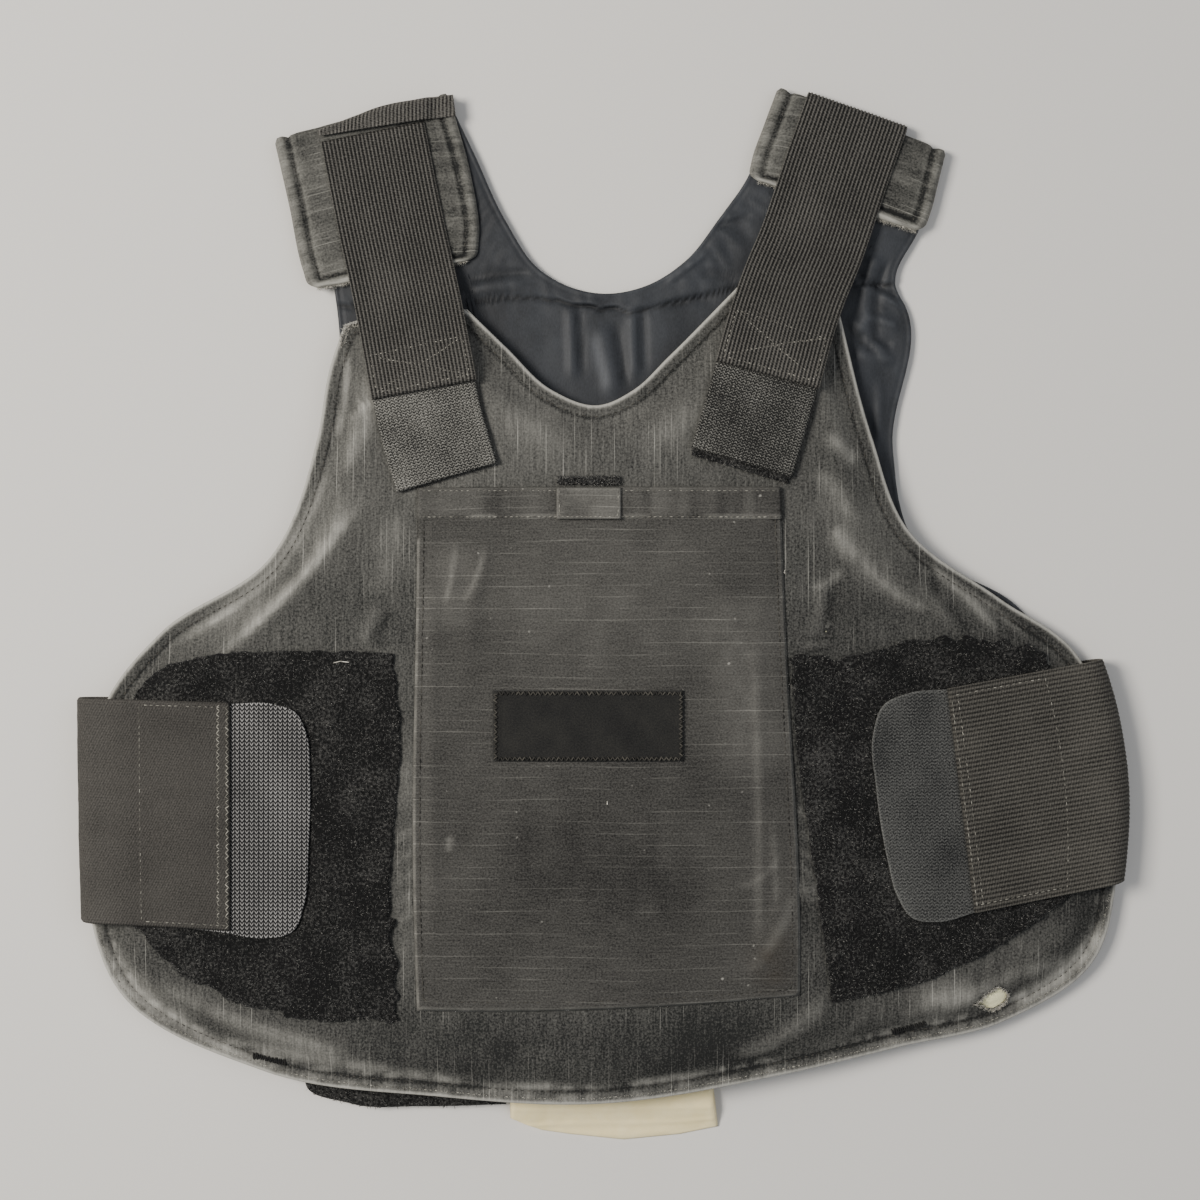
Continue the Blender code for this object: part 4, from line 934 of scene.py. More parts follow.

# %% [markdown]
# ## Front panel
# The carrier is a bag round the armour pack. Its hem is rolled and double-stitched, and the thread
# has drawn it up into small puckers. The panel has taken the lie of the body: long soft folds run
# from the armholes, and short creases from the pocket's corners. The tables hold the folds and the
# bands where the dye has rubbed off, with one band of painted shade over the lower middle, and both
# feed the same bell-shaped formula.

# %% The front panel's folds and wear
FRONT_FOLDS = (
    Fold("left armhole, outer ridge", -129, 72, -200, -10, 11, 4.5, 1.0),
    Fold("left armhole, valley between", -126, 60, -188, -14, 8, 3.0, -0.8),
    Fold("left armhole, long ridge", -119, 50, -183, -20, 5, 3.6, 1.3),
    Fold("left shoulder, pull", -112, 118, -122, 72, 3, 5.0, 0.9),
    Fold("left of pocket, crease", -100, 3, -108, -17, -1, 2.2, -1.0),
    Fold("left of pocket, ridge", -105, 5, -114, -15, -1, 3.4, 1.1),
    Fold("right of pocket, crease", 109, 16, 102, -21, 1.5, 1.7, -1.05),
    Fold("right of pocket, ridge", 104, 18, 97, -21, 1.5, 3.0, 1.1),
    Fold("right armhole, upper crease", 157, 21, 160, 8, 0.5, 1.6, -0.9),
    Fold("right armhole, lower crease", 163, 7, 174, -9, 1, 1.8, -0.9),
    Fold("right armhole, pull", 156, 24, 189, -9, 2, 3.0, 1.2),
    Fold("right armhole, pull inside", 150, 16, 166, -8, 1, 2.8, 0.8),
    Fold("right chest, slanting ridge", 108, 46, 154, 4, -7, 6.0, 0.9),
    Fold("right shoulder, pull", 98, 118, 116, 76, 3, 5.0, 0.9),
    Fold("pocket corner, short crease", 90, -139, 106, -131, 1, 1.5, -1.0),
    Fold("pocket corner, short ridge", 90, -134, 107, -126.5, 1, 2.4, 1.1),
    Fold("below the right field, curved ridge", 108, -176, 58, -207, 7, 3.0, 1.4),
    Fold("below the right field, curved valley", 104, -184, 60, -213, 7, 2.4, -0.8),
    Fold("below the right field, outer", 128, -184, 96, -206, 5, 3.2, 0.8),
    Fold("lower left, long ridge", -190, -188, -118, -211, -5, 3.4, 0.9),
    Fold("lower left, second", -150, -198, -96, -215, -4, 2.6, 0.7),
    Fold("above the tear, crease", 182, -157, 180, -174, 0.5, 1.6, -0.8),
    Fold("below the tear", 140, -192, 200, -184, 3, 3.0, 0.9),
    Fold("upper chest, left", -56, 104, -20, 84, -4, 7.0, 0.8),
    Fold("upper chest, right", 52, 106, 22, 84, 4, 7.0, 0.8),
    Fold("left wing, under the field", -226, -170, -196, -184, -3, 3.2, 0.8),
)
WORN_AND_SHADED_BANDS = (
    Fold("left armhole, outer pale band", -129, 74, -209, -16, 13, 3.8, 0.38),
    Fold("left armhole, outer core", -136, 52, -196, -8, 9, 1.6, 0.22),
    Fold("left armhole, inner pale band", -114, 56, -184, -20, 5, 3.0, 0.50),
    Fold("left armhole, inner haze", -117, 62, -187, -14, 8, 9.0, 0.29),
    Fold("left shoulder", -122, 128, -127, 84, 2, 2.6, 0.36),
    Fold("left shoulder, inner", -108, 112, -126, 66, 4, 6.0, 0.24),
    Fold("left shoulder, cross rub", -122, 92, -104, 105, 1, 1.7, 0.42),
    Fold("left shoulder, second rub", -118, 104, -112, 92, 1, 1.6, 0.26),
    Fold("left of the pocket mouth", -98, 50, -106, 8, 2, 8.0, 0.10),
    Fold("upper chest, left", -44, 100, -14, 80, -2, 8.0, 0.12),
    Fold("upper chest, right", 44, 98, 12, 82, 4, 7.0, 0.10),
    Fold("upper chest, right rub", 105, 86, 121, 71, 1, 3.0, 0.36),
    Fold("upper chest, right second rub", 100, 70, 118, 44, 2, 4.0, 0.20),
    Fold("right chest, patch", 109, 42, 121, 26, -1, 4.0, 0.34),
    Fold("right chest, arc down to the right", 120, 30, 156, 2, -4, 2.4, 0.24),
    Fold("right chest, arc down to the left", 114, 22, 99, 12, 1, 2.2, 0.22),
    Fold("right chest, haze", 104, 60, 140, 14, 3, 16.0, 0.08),
    Fold("right armhole, along the hem", 127, 104, 152, 40, 8, 2.0, 0.22),
    Fold("right armhole, pull", 155, 24, 190, -10, 2, 2.0, 0.34),
    Fold("right armhole, second pull", 168, 14, 204, -12, 2, 1.8, 0.24),
    Fold("left of the pocket, low", -93, -40, -93, -170, 0, 2.6, 0.12),
    Fold("right of the pocket, spots", 94, -60, 98, -130, 0, 2.0, 0.14),
    Fold("bottom, left of middle", -180, -203, -60, -221, -2, 2.6, 0.34),
    Fold("bottom, left, second", -212, -176, -120, -208, -4, 3.4, 0.26),
    Fold("bottom, left wing", -240, -158, -196, -196, -4, 4.6, 0.34),
    Fold("bottom, right wing", 150, -196, 232, -164, 5, 3.2, 0.20),
    Fold("right wing, rubbed hem", 194, -187.5, 243, -146, -6, 3.8, 0.72),
    Fold("right wing, haze", 118, -188, 226, -150, -4, 15.0, 0.12),
    Fold("left wing, rubbed hem", -241, -170, -163, -215, -3, 2.4, 0.42),
    Fold("left of the tear", 148, -184, 178, -181, 1, 5.0, 0.42),
    Fold("bottom, middle", -60, -225, -20, -223, 0, 2.6, 0.36),
    Fold("bottom, right of middle", 10, -222, 60, -215, -1, 2.2, 0.26),
    Fold("pale curve under the right field", 106, -182, 60, -209, 7, 2.0, 0.24),
    # Painted shade: this band darkens the lower middle, where the light falls off.
    Fold("lower middle stays dark", -90, -204, 90, -204, 0, 16.0, -0.08),
    Fold("below the neckline", -30, 97, 30, 97, 0, 5.0, 0.06),
)


def front_bottom(x, y, d):
    """The arch, with a slightly uneven lining."""
    return FRONT_BASE + arch(x, y) + 0.15 * rough(x, y, 20, 31)


def hem_lumps(x, y, d):
    """Uneven lumps along the edge, a few millimetres long, where the thread draws the hem up."""
    turn = np.arctan2(y + 40, x)
    return noise(turn * 190 + 0.02 * x, d * 0 + y * 0.02, (5.5, 40), 41)


def front_top(x, y, d):
    """Hem, bevel and full thickness, with puckers along the hem, folds and a soft unevenness."""
    share = ease((d - FRONT_HEM) / (FRONT_BEVEL_END - FRONT_HEM))
    level = FRONT_BASE + arch(x, y) + HEM_THICK + (FRONT_THICK - HEM_THICK) * share
    drawn = 0.35 + 0.65 * ease((-y - 60) / 90)
    pucker = hem_lumps(x, y, d) + 0.7 * noise(x, y, 4.5, 43)
    hem = 0.10 + 0.25 * drawn * np.sin(np.pi * np.clip(d / 6.1, 0, 1)) ** 0.7
    seam = -(0.12 + 0.4 * drawn) * bell(d - 6.4, 0.7)
    near = 0.28 * bell(d - 7.5, 5.5) + 0.2 * bell(d - 3, 2.5)
    soft = 0.8 * rough(x, y, 48, 51) + 0.35 * rough(x, y, 15, 55) + 0.12 * rough(x, y, 5, 59)
    inner = ease((d - 4) / 12)
    return level + hem + seam + pucker * near * drawn + inner * (soft * 0.8 + relief(x, y, FRONT_FOLDS))


def front_values(x, y, d, on_top):
    """Wear and painted light: a chalky line at the very edge, a darker hem inside it, painted shade in
    the hem's stitch groove, pale broken rubs on the bottom hem, bands, pale rubbed fold crests with
    painted shade in the creases, and a painted light falloff, paler at the top and darker at the
    bottom and to the right."""
    drawn = 0.06 + 0.94 * ease((-y - 110) / 60)
    lumps = 0.5 + 0.5 * (0.55 * hem_lumps(x, y, d) + 0.45 * noise(x, y, (3.2, 2.6), 61))
    sharp = ease((lumps - 0.35) / 0.4)
    hem = bell(d - 0.6, 0.95) * (0.75 + 0.4 * lumps)
    hem += bell(d - 3.0, 2.4) * ((0.15 + 0.24 * sharp) * drawn - 0.06)
    hem += bell(d - 8.4, 1.6) * 0.26 * sharp * drawn
    # Painted shade in the hem's stitch groove.
    seam = -0.12 * bell(d - 6.4, 0.8)
    crisp = 1 + 1.4 * (x < -60) * (y > -30)
    bands = relief(x, y, WORN_AND_SHADED_BANDS, crisp) * (
        0.72 + 0.25 * noise(x, y, (2.6, 16), 65) + 0.22 * noise(x, y, 4.5, 63)
    )
    # Fold crests paler where rubbed; the creases are darkened as painted shade.
    crests = 0.08 * np.clip(relief(x, y, FRONT_FOLDS), -2.0, 2)
    clouds = 0.055 * rough(x, y, 60, 67) + 0.035 * rough(x, y, 14, 71)
    # Painted light falloff: paler towards the top, darker at the bottom and to the right.
    chest = 0.06 * ease((y + 40) / 120) - 0.03 * ease((-150 - y) / 60) - 0.04 * ease((x - 20) / 160)
    rubbed = 0.30 + hem + seam + bands + crests + clouds + chest
    return {"wear_and_shade": np.where(on_top > 0.5, rubbed, 0.2)}


# %% The front panel's mesh, its cavity and the tear
TEAR = (
    Row("left tip", 178.2, -186.0, "corner"),
    Row("upper left", 183.0, -181.6),
    Row("top", 190.4, -178.2),
    Row("right", 193.4, -183.4),
    Row("foot", 188.0, -189.4),
)
front_pole = np.array([-1.5, -40.0])
front_rings = ring_depths(FRONT, front_pole)
front_panel = pad(
    "front_carrier_cloth", FRONT, front_pole, *front_rings, front_top, front_bottom, faded_cloth, front_values
)
CAVITY_INSET, PACK_INSET = 9.0, 11.0
CUT_BELOW, CUT_ABOVE = 5.9, 4.0


def inside_top(x, y, d):
    """The upper inner wall of the bag: one cloth thickness under the upper face. The face is read
    0.8 mm nearer the edge, where it is lower, so the bevel does not thin the wall."""
    return front_top(x, y, d + 8.2) - CARRIER_CLOTH


def inside_bottom(x, y, d):
    """The lower inner wall of the bag: one cloth thickness over the underside."""
    return front_bottom(x, y, d) + CARRIER_CLOTH


def inward(curve, distance):
    """A closed curve moved inwards along its normals, smoothed as the fan's rings are."""
    ring = fan(curve, front_pole, np.array([0.0, distance]), reach=40.0, spread=8.0)[1]
    return even(np.vstack([ring, ring[:1]]), 5.0)[:-1]


CAVITY_DEPTHS = np.array([0, 0.6, 2, 5, 9, 13, 22, 40, 70, 110, 170])
cavity = pad(
    "cavity",
    inward(FRONT, CAVITY_INSET),
    front_pole,
    CAVITY_DEPTHS,
    CAVITY_DEPTHS,
    inside_top,
    inside_bottom,
    faded_cloth,
    front_values,
)
cavity.data.flip_normals()
bpy.ops.object.select_all(action="DESELECT")
bpy.context.view_layer.objects.active = front_panel
front_panel.select_set(True)
cavity.select_set(True)
bpy.ops.object.join()
tear_curve = closed_curve(TEAR, 0.8)
ragged = tear_curve + 0.5 * np.column_stack(
    [noise(tear_curve[:, 0], tear_curve[:, 1], 1.6, s) for s in (81, 83)]
)
print("tear's distance from the edge, mm:", distance_to(ragged, FRONT).round(1)[::6])
level = front_face(185.0, -180.0)
tear_top = front_top(ragged[:, 0], ragged[:, 1], distance_to(ragged, FRONT))
print("front's top at the tear, mm:", tear_top.round(1)[::6], "full height:", round(float(level), 1))
ring = np.arange(len(ragged))
tear_points = np.vstack(
    [np.column_stack([ragged, np.full(len(ragged), z)]) for z in (level - CUT_BELOW, level + CUT_ABOVE)]
)
tear_sides = np.column_stack([ring, np.roll(ring, -1), np.roll(ring, -1) + len(ring), ring + len(ring)])
tear_caps = [ring[None, ::-1], ring[None] + len(ring)]
cutter = to_object(
    "tear_cutter",
    tear_points,
    [tear_sides, *tear_caps],
    faded_cloth,
    tear_points[:, :2],
    {"wear_and_shade": np.full(len(tear_points), 0.9)},
    False,
)
outward = bmesh.new()
outward.from_mesh(cutter.data)
bmesh.ops.recalc_face_normals(outward, faces=outward.faces)
outward.to_mesh(cutter.data)
outward.free()
whole = len(front_panel.data.polygons)
cut = front_panel.modifiers.new("tear", "BOOLEAN")
cut.operation, cut.solver, cut.object = "DIFFERENCE", "EXACT", cutter
bpy.ops.object.select_all(action="DESELECT")
bpy.context.view_layer.objects.active = front_panel
front_panel.select_set(True)
bpy.ops.object.modifier_apply(modifier="tear")
print("faces changed by the tear:", len(front_panel.data.polygons) - whole)
bpy.data.objects.remove(cutter)
dress(front_panel, "faded_carrier_cloth", "front_carrier")

# %% [markdown]
# ## Armour pack
# The pack is a stack of woven sheets in a cream cover. Only a spot of it shows, through the tear. It
# is a plain pad that fills the bag with a little room all round.


# %% The armour pack
def pack_top(x, y, d):
    """A cloth thickness and a clearance under the carrier's upper face, swollen into the tear."""
    swollen = 1.6 * np.exp(-(((x - 187) / 4.4) ** 2) - ((y + 184.0) / 4.2) ** 2)
    return inside_top(x, y, d + 1.5) - GAP + swollen


def pack_bottom(x, y, d):
    """A clearance over the carrier's lower inner wall."""
    return inside_bottom(x, y, d) + GAP


pack_edge = inward(FRONT, PACK_INSET)
push = 3.4 * bell(np.linalg.norm(pack_edge - (188.0, -185.0), axis=1), 6.0)
pack_edge = pack_edge + push[:, None] * np.array([0.32, -0.95])
PACK_DEPTHS = np.array([0, 0.5, 1.5, 3, 5, 7, 9, 12, 16, 22, 40, 70, 110, 170])
pack = pad(
    "armour_pack_cover",
    pack_edge,
    front_pole,
    PACK_DEPTHS,
    CAVITY_DEPTHS,
    pack_top,
    pack_bottom,
    pack_cover,
    lambda x, y, d, on_top: {"wear_and_shade": 0.8 + 0.2 * rough(x, y, 8, 91)},
)
dress(pack, "armour_pack", "front_armour_pack")

# %% [markdown]
# ## Pocket
# A patch pocket is one cloth with its edges turned under and stitched down on three sides. Its mouth
# has a turned hem 16 mm deep, sewn with two lines, and a short tab there grips a strip of pile. The
# cloth is a grid between four curved sides, so it bows where the real one does.


# %% Grids between four sides
def side_curve(points, count):
    """A smooth run through a few points: a parabola or cubic in the running share."""
    points = np.array(points, float)
    share = np.linspace(0, 1, len(points))
    order = min(3, len(points) - 1)
    at = np.linspace(0, 1, count)
    return np.column_stack([np.polyval(np.polyfit(share, points[:, k], order), at) for k in (0, 1)])


def between(low, high, left, right):
    """A Coons patch: the mean of the two ruled surfaces less the bilinear one of the corners."""
    rows, columns = len(left), len(low)
    v, u = np.linspace(0, 1, rows)[:, None, None], np.linspace(0, 1, columns)[None, :, None]
    ruled = (1 - v) * low[None] + v * high[None] + (1 - u) * left[:, None] + u * right[:, None]
    corners = (1 - v) * ((1 - u) * low[0] + u * low[-1]) + v * ((1 - u) * high[0] + u * high[-1])
    return ruled - corners


def laid_sheet(name, grid, base, thickness, material, bumps, values, radius=0.8):
    """A sheet on a grid of points that lies at a base height and is thick upwards from it."""
    x, y = grid[..., 0], grid[..., 1]
    swell, near = edge_swell(lengths(grid, 1), lengths(grid, 0), radius)
    middle = base(x, y) + thickness / 2
    upper = np.dstack([x, y, middle + swell * (thickness / 2 + bumps(x, y, near))])
    lower = np.dstack([x, y, middle - swell * thickness / 2])
    return slab(name, upper, lower, material, grid, values(x, y, near))


# %% The pocket and its hem
pocket_grid = between(
    side_curve([(-88, -187), (-45, -187), (-1, -186), (45, -183.5), (93, -180)], 102),
    side_curve([(-88, 60), (-30, 60.6), (30, 60.6), (84, 60.5)], 102),
    side_curve([(-88, -187), (-90, -100), (-89, -30), (-88, 60)], 138),
    side_curve([(93, -180), (92, -110), (88, -40), (84, 60.5)], 138),
)
POCKET_FOLDS = (
    Fold("lower right, slanting ridge", 92, -128, 60, -172, 4, 5.0, 0.9),
    Fold("lower right, slanting valley", 88, -116, 52, -164, 4, 6.0, -0.6),
    Fold("right side, long", 72, 10, 74, -170, 1, 3.4, 0.7),
    Fold("right side, second", 80, -90, 82, -150, 0, 2.6, 0.5),
    Fold("left side, long", -80, 30, -80, -150, -1, 3.4, 0.6),
    Fold("middle, soft", -20, -90, 20, -160, 4, 14, 0.5),
    Fold("upper left, long", -60, 40, -66, -30, 2, 4.0, 0.8),
    Fold("upper left, second", -74, 34, -70, -10, 1, 4.0, 0.7),
    Fold("upper left, slanting", -54, 34, -62, 4, 1, 3.0, 0.8),
    Fold("upper right, soft", 56, 34, 64, -30, -3, 10, 0.6),
)
POCKET_BANDS = (
    Fold("left, inside the seam", -84, 40, -84, -170, 0, 3.0, 0.06),
    Fold("upper left, pale crease", -70, 34, -75, 4, 1, 1.2, 0.26),
    Fold("upper left, second crease", -56, 34, -66, 6, 2, 1.3, 0.24),
    Fold("upper left, haze", -70, 36, -72, -10, 0, 12.0, 0.10),
    Fold("right, haze of ribs", 62, 10, 72, -80, 0, 16.0, 0.16),
    Fold("right, long pale crease", 71, -20, 73, -160, 1, 1.8, 0.14),
    Fold("right, second crease", 80, -96, 82, -140, 0, 1.4, 0.14),
    Fold("lower right, slanting crease", 90, -130, 66, -170, 4, 2.6, 0.20),
    Fold("lower right, second crease", 84, -112, 62, -128, 4, 1.6, 0.14),
    Fold("low left, pale spot", -72, -104, -73, -112, 0, 1.6, 0.34),
    # These two bands are a painted light falloff: the upper half painted paler, the lower half darker.
    Fold("upper half stays pale", -60, 8, 60, 8, 0, 34, 0.08),
    Fold("lower half stays dark", -60, -120, 50, -140, 0, 46, -0.07),
)


def on_front(lift):
    """A base that lies on the front panel's full face at a given lift."""
    return lambda x, y: front_face(x, y) + lift


def pocket_bumps(x, y, near):
    """Turned edge, stitch line, soft folds."""
    turned = 0.35 * (1 - ease((near - 2.2) / 1.5))
    seam = -0.45 * bell(near - 3.0, 0.6)
    pulled = 0.3 * noise(x, y, 6, 101) * bell(near - 3, 4)
    soft = 0.45 * rough(x, y, 46, 103) + 0.16 * rough(x, y, 12, 105)
    inner = ease((near - 2) / 10)
    return turned + seam + pulled + inner * (0.5 + soft + relief(x, y, POCKET_FOLDS))


def pocket_values(x, y, near):
    """Wear along the sides and on folds, a painted light falloff from a paler upper half to a darker
    lower half, and a brown stain at the lower right.
    """
    wear_and_shade = 0.30 + relief(x, y, POCKET_BANDS) * (0.85 + 0.3 * noise(x, y, (5.0, 7.0), 115))
    wear_and_shade += 0.05 * rough(x, y, 44, 117) + 0.03 * rough(x, y, 12, 119)
    left = 0.75 * (x < -60) * (y < 36)
    right = (x > 60) * (0.45 + 0.3 * ease((-y - 40) / 12))
    foot = 0.6 * (y < -170) * (np.abs(x) < 80)
    wear_and_shade += bell(near, 1.0) * np.maximum(np.maximum(left, right), foot) * (0.8 + 0.3 * noise(x, y, 4, 123))
    stain = np.exp(-(((x - 80) / 9) ** 2) - ((y + 162) / 11) ** 2) * (0.5 + 0.4 * noise(x, y, 6, 121))
    return {"wear_and_shade": wear_and_shade, "stain": np.clip(0.75 * stain, 0, 1)}


pocket = laid_sheet(
    "pocket_cloth", pocket_grid, on_front(OVER_FRONT), POCKET_CLOTH, pocket_cloth, pocket_bumps, pocket_values
)
dress(pocket, "pocket_ripstop", "pocket")


def hem_bumps(x, y, near):
    """A turned hem puckered by its two lines of thread."""
    gathers = 0.22 * noise(x, y * 0.2, (4.4, 8), 131) * np.sin(np.pi * np.clip(near / 8, 0, 1))
    lines = -0.3 * bell(near - 1.8, 0.5)
    return 0.1 + gathers + lines + 0.15 * rough(x, y, 24, 133)


def hem_values(x, y, near):
    """Rubbed pale along its mouth and in dashes along its lower line, with faint upright puckers."""
    lumps = 0.07 * noise(x, y * 0.3, (4.4, 12), 131) + 0.08 * rough(x, y, 16, 135)
    mouth = 0.34 * bell(y - 60.2, 0.7)
    dashes = ease((noise(x, y * 0, (9, 9), 137) + 0.2) / 0.5)
    line = 0.34 * bell(y - 46.4, 0.8) * dashes
    return {"wear_and_shade": 0.34 + lumps + mouth + line, "stain": np.zeros(np.shape(x))}


hem_grid = between(
    side_curve([(-88.1, 44), (0, 44.5), (84.6, 44.5)], 130),
    side_curve([(-88, 60), (0, 60.5), (84, 60.5)], 130),
    side_curve([(-88.1, 44), (-88, 60)], 14),
    side_curve([(84.6, 44.5), (84, 60.5)], 14),
)
hem_lift = OVER_FRONT + POCKET_CLOTH + GAP


def hem_base(x, y):
    """The hem's own lift, eased down to the pocket where its lower edge is sewn flat."""
    return front_face(x, y) + hem_lift - 1.35 * (1 - ease((y - 43.8) / 4.0))


pocket_hem = laid_sheet(
    "pocket_hem_cloth", hem_grid, hem_base, POCKET_CLOTH, pocket_cloth, hem_bumps, hem_values
)
dress(pocket_hem, "pocket_ripstop", "pocket_hem")

# %% [markdown]
# ### Tab, fastener and patch
# The pull tab is a folded scrap of the pocket's cloth. The strip of pile under it peeks out above the
# mouth. The patch is woven and edged with a dense zigzag, and its middle is left bare.


# %% Tab, fastener and patch
def straight_grid(low_x, low_y, high_x, high_y, step=1.0):
    """A plain rectangle of points."""
    x = np.linspace(low_x, high_x, max(4, round((high_x - low_x) / step) + 1))
    y = np.linspace(low_y, high_y, max(4, round((high_y - low_y) / step) + 1))
    return np.stack(np.meshgrid(x, y), axis=-1)


def plain_values(level, amount=0.1, seed=141):
    """A worn value round a level, uneven by a given amount, and no stain."""
    return lambda x, y, near: {
        "wear_and_shade": level + amount * rough(x, y, 8, seed) + 0.25 * bell(near, 1.0),
        "stain": np.zeros(np.shape(x)),
    }


tab_lift = hem_lift + POCKET_CLOTH + GAP
pocket_tab = laid_sheet(
    "pocket_tab_cloth",
    straight_grid(-22.0, 45.0, 8.5, 60.0, 0.8),
    on_front(tab_lift),
    POCKET_CLOTH,
    pocket_cloth,
    lambda x, y, near: 0.2 - 0.3 * bell(near - 1.8, 0.5) + 0.15 * noise(x, y, 4, 143),
    plain_values(0.46, 0.18, 145),
)
dress(pocket_tab, "pocket_ripstop", "pocket_tab")
fastener = laid_sheet(
    "pocket_pile_strip",
    straight_grid(-21.5, 61.5, 8.0, 65.5, 0.6),
    on_front(OVER_FRONT),
    LOOP_PILE,
    pile_base,
    lambda x, y, near: 0.4 * noise(x, y, 1.2, 147),
    plain_values(0.15, 0.1, 149),
)
dress(fastener, "loop_pile", "pocket_fastener")
badge = laid_sheet(
    "plain_patch",
    straight_grid(-52.0, -69.0, 38.0, -35.5, 1.0),
    on_front(hem_lift),
    BADGE_THICK,
    patch_cloth,
    lambda x, y, near: 0.12 * noise(x, y, 3, 151) + 0.35 * (near < 3.4) + 0.12 * rough(x, y, 20, 153),
    plain_values(0.25, 0.12, 155),
)
dress(badge, "badge_cloth", "badge")

# %% [markdown]
# ## Loop fields
# The pile is a mat of loops on a knitted ground. The ground is a sheet with a lumpy top and a frayed
# outline. On it stand thousands of short bent fibres, each a three-sided spike, laid over at random,
# so the field has a fuzzy edge and a grain that catches light unevenly.

# %% Fields of pile
LEFT_FIELD = (
    Row("outer, at the strap", -229, -46, "corner"),
    Row("top, near the hem", -214, -27),
    Row("top, outer", -190, -20),
    Row("top, middle", -140, -17),
    Row("inner, top", -99.5, -18, "corner"),
    Row("inner, upper", -96, -58),
    Row("inner, middle", -100, -110),
    Row("inner, bottom", -98, -192, "corner"),
    Row("bottom, inner", -143, -191.5),
    Row("bottom, outer", -192, -176),
    Row("outer, bottom", -227, -148, "corner"),
)
RIGHT_FIELD = (
    Row("inner, top", 89, -21, "corner"),
    Row("inner, upper", 91, -60),
    Row("inner, middle", 100.5, -126),
    Row("inner, bottom", 108.5, -184, "corner"),
    Row("bottom, inner", 160, -171.5),
    Row("bottom, outer", 200, -151),
    Row("outer, bottom", 226, -132, "corner"),
    Row("outer, at the strap", 228, -50, "corner"),
    Row("top, near the hem", 211, -18, "corner"),
    Row("top, worn edge", 189, -12),
    Row("top, middle", 145, -12.5),
    Row("top, inner", 115, -19),
)
FRONT_COARSE = FRONT[::3]
FIELD_FIBRES = 15000


def field_base(x, y, d):
    """The front panel's own face under the field, bevel included."""
    depth = distance_to(np.stack([x, y], axis=-1), FRONT_COARSE)
    share = np.clip((depth - FRONT_HEM) / (FRONT_BEVEL_END - FRONT_HEM), 0, 1)
    return FRONT_BASE + arch(x, y) + HEM_THICK + (FRONT_THICK - HEM_THICK) * share + OVER_FRONT


def field_top(x, y, d):
    """Lumpy pile."""
    lumps = 0.35 * noise(x, y, 1.6, 161) + 0.3 * noise(x, y, 4.5, 163) + 0.3 * rough(x, y, 14, 165)
    return field_base(x, y, d) + LOOP_PILE + lumps


def spike():
    """A bent three-sided fibre one unit long: a foot, a knee and a tip."""
    turn = np.arange(3) * 2 * np.pi / 3
    foot = np.column_stack([np.zeros(3), np.cos(turn), np.sin(turn)])
    knee = np.column_stack([np.full(3, 0.55), 0.9 * np.cos(turn), 0.9 * np.sin(turn)])
    knee[:, 2] += 1.2
    points = np.vstack([foot, knee, [[1.0, 0, -0.3]]])
    sides = quads(np.arange(6).reshape(2, 3), True)[:, ::-1]
    tips = np.array([[4, 3, 6], [5, 4, 6], [3, 5, 6]])[:, ::-1]
    return points, [sides, tips, np.array([[0, 1, 2]])]


def inside(points, curve):
    """Which points a closed curve holds: an odd number of its edges crosses a ray to the right."""
    x, y = points[:, :1], points[:, 1:]
    nxt = np.roll(curve, -1, axis=0)
    crosses = (curve[None, :, 1] > y) != (nxt[None, :, 1] > y)
    rise = np.where(crosses, nxt[None, :, 1] - curve[None, :, 1], 1.0)
    at = curve[None, :, 0] + (y - curve[None, :, 1]) * (nxt - curve)[None, :, 0] / rise
    return (crosses & (x < at)).sum(axis=1) % 2 == 1


def fibres(name, curve, count, height, seed, length=1.7, girth=0.15):
    """Spikes scattered evenly over a region, laid over in random directions."""
    rng = np.random.default_rng(seed)
    low, high = curve.min(axis=0), curve.max(axis=0)
    spots = rng.uniform(low, high, (int(count * 2.2), 2))
    spots = spots[inside(spots, curve[::4])][:count]
    z = height(spots[:, 0], spots[:, 1])
    lean = rng.uniform(0, 2 * np.pi, len(spots))
    rise = rng.uniform(0.0, 0.55, len(spots))
    along = np.column_stack([np.cos(lean), np.sin(lean), rise])
    along /= np.linalg.norm(along, axis=1)[:, None]
    scale = np.column_stack([rng.uniform(0.6, 1.3, len(spots)) * length, *[np.full(len(spots), girth)] * 2])
    tint = rng.uniform(0, 1, len(spots)) ** 2.0
    return copies(name, spike(), np.column_stack([spots, z]), along, scale, pile_fibre, tint)


def loop_field(side, rows, pole, seed, worn):
    """One field: an outline frayed most where it is worn, the ground and its fibres."""
    curve = closed_curve(rows, 1.4)
    fray = np.column_stack([noise(curve[:, 0], curve[:, 1], 2.2, seed + k) for k in (0, 2)])
    tufts = np.column_stack([noise(curve[:, 0], curve[:, 1], 5.5, seed + k) for k in (7, 9)])
    ragged = worn(curve)[:, None]
    curve = curve + (0.6 + 0.5 * ragged) * fray + (0.5 + 1.6 * ragged) * tufts
    far = np.linalg.norm(curve - pole, axis=1).mean()
    inner = np.arange(2.5, far - 3, 2.0)
    depths = np.concatenate([[0, 0.3, 0.9, 1.6], inner, [far]])
    under = np.append([0, 1, 10, 30], far)
    ground = pad(
        f"loop_field_{side}_ground",
        curve,
        pole,
        depths,
        under,
        field_top,
        field_base,
        pile_base,
        lambda x, y, d, on_top: {"wear_and_shade": 0.02 + 0.16 * rough(x, y, 18, seed + 5)},
        soft_edge=0.9,
    )
    dress(ground, "loop_pile", f"loop_field_{side}")
    fuzz = fibres(
        f"loop_field_{side}_fibres", curve, FIELD_FIBRES, lambda x, y: field_top(x, y, 0) - 0.25, seed
    )
    dress(fuzz, "loop_pile")


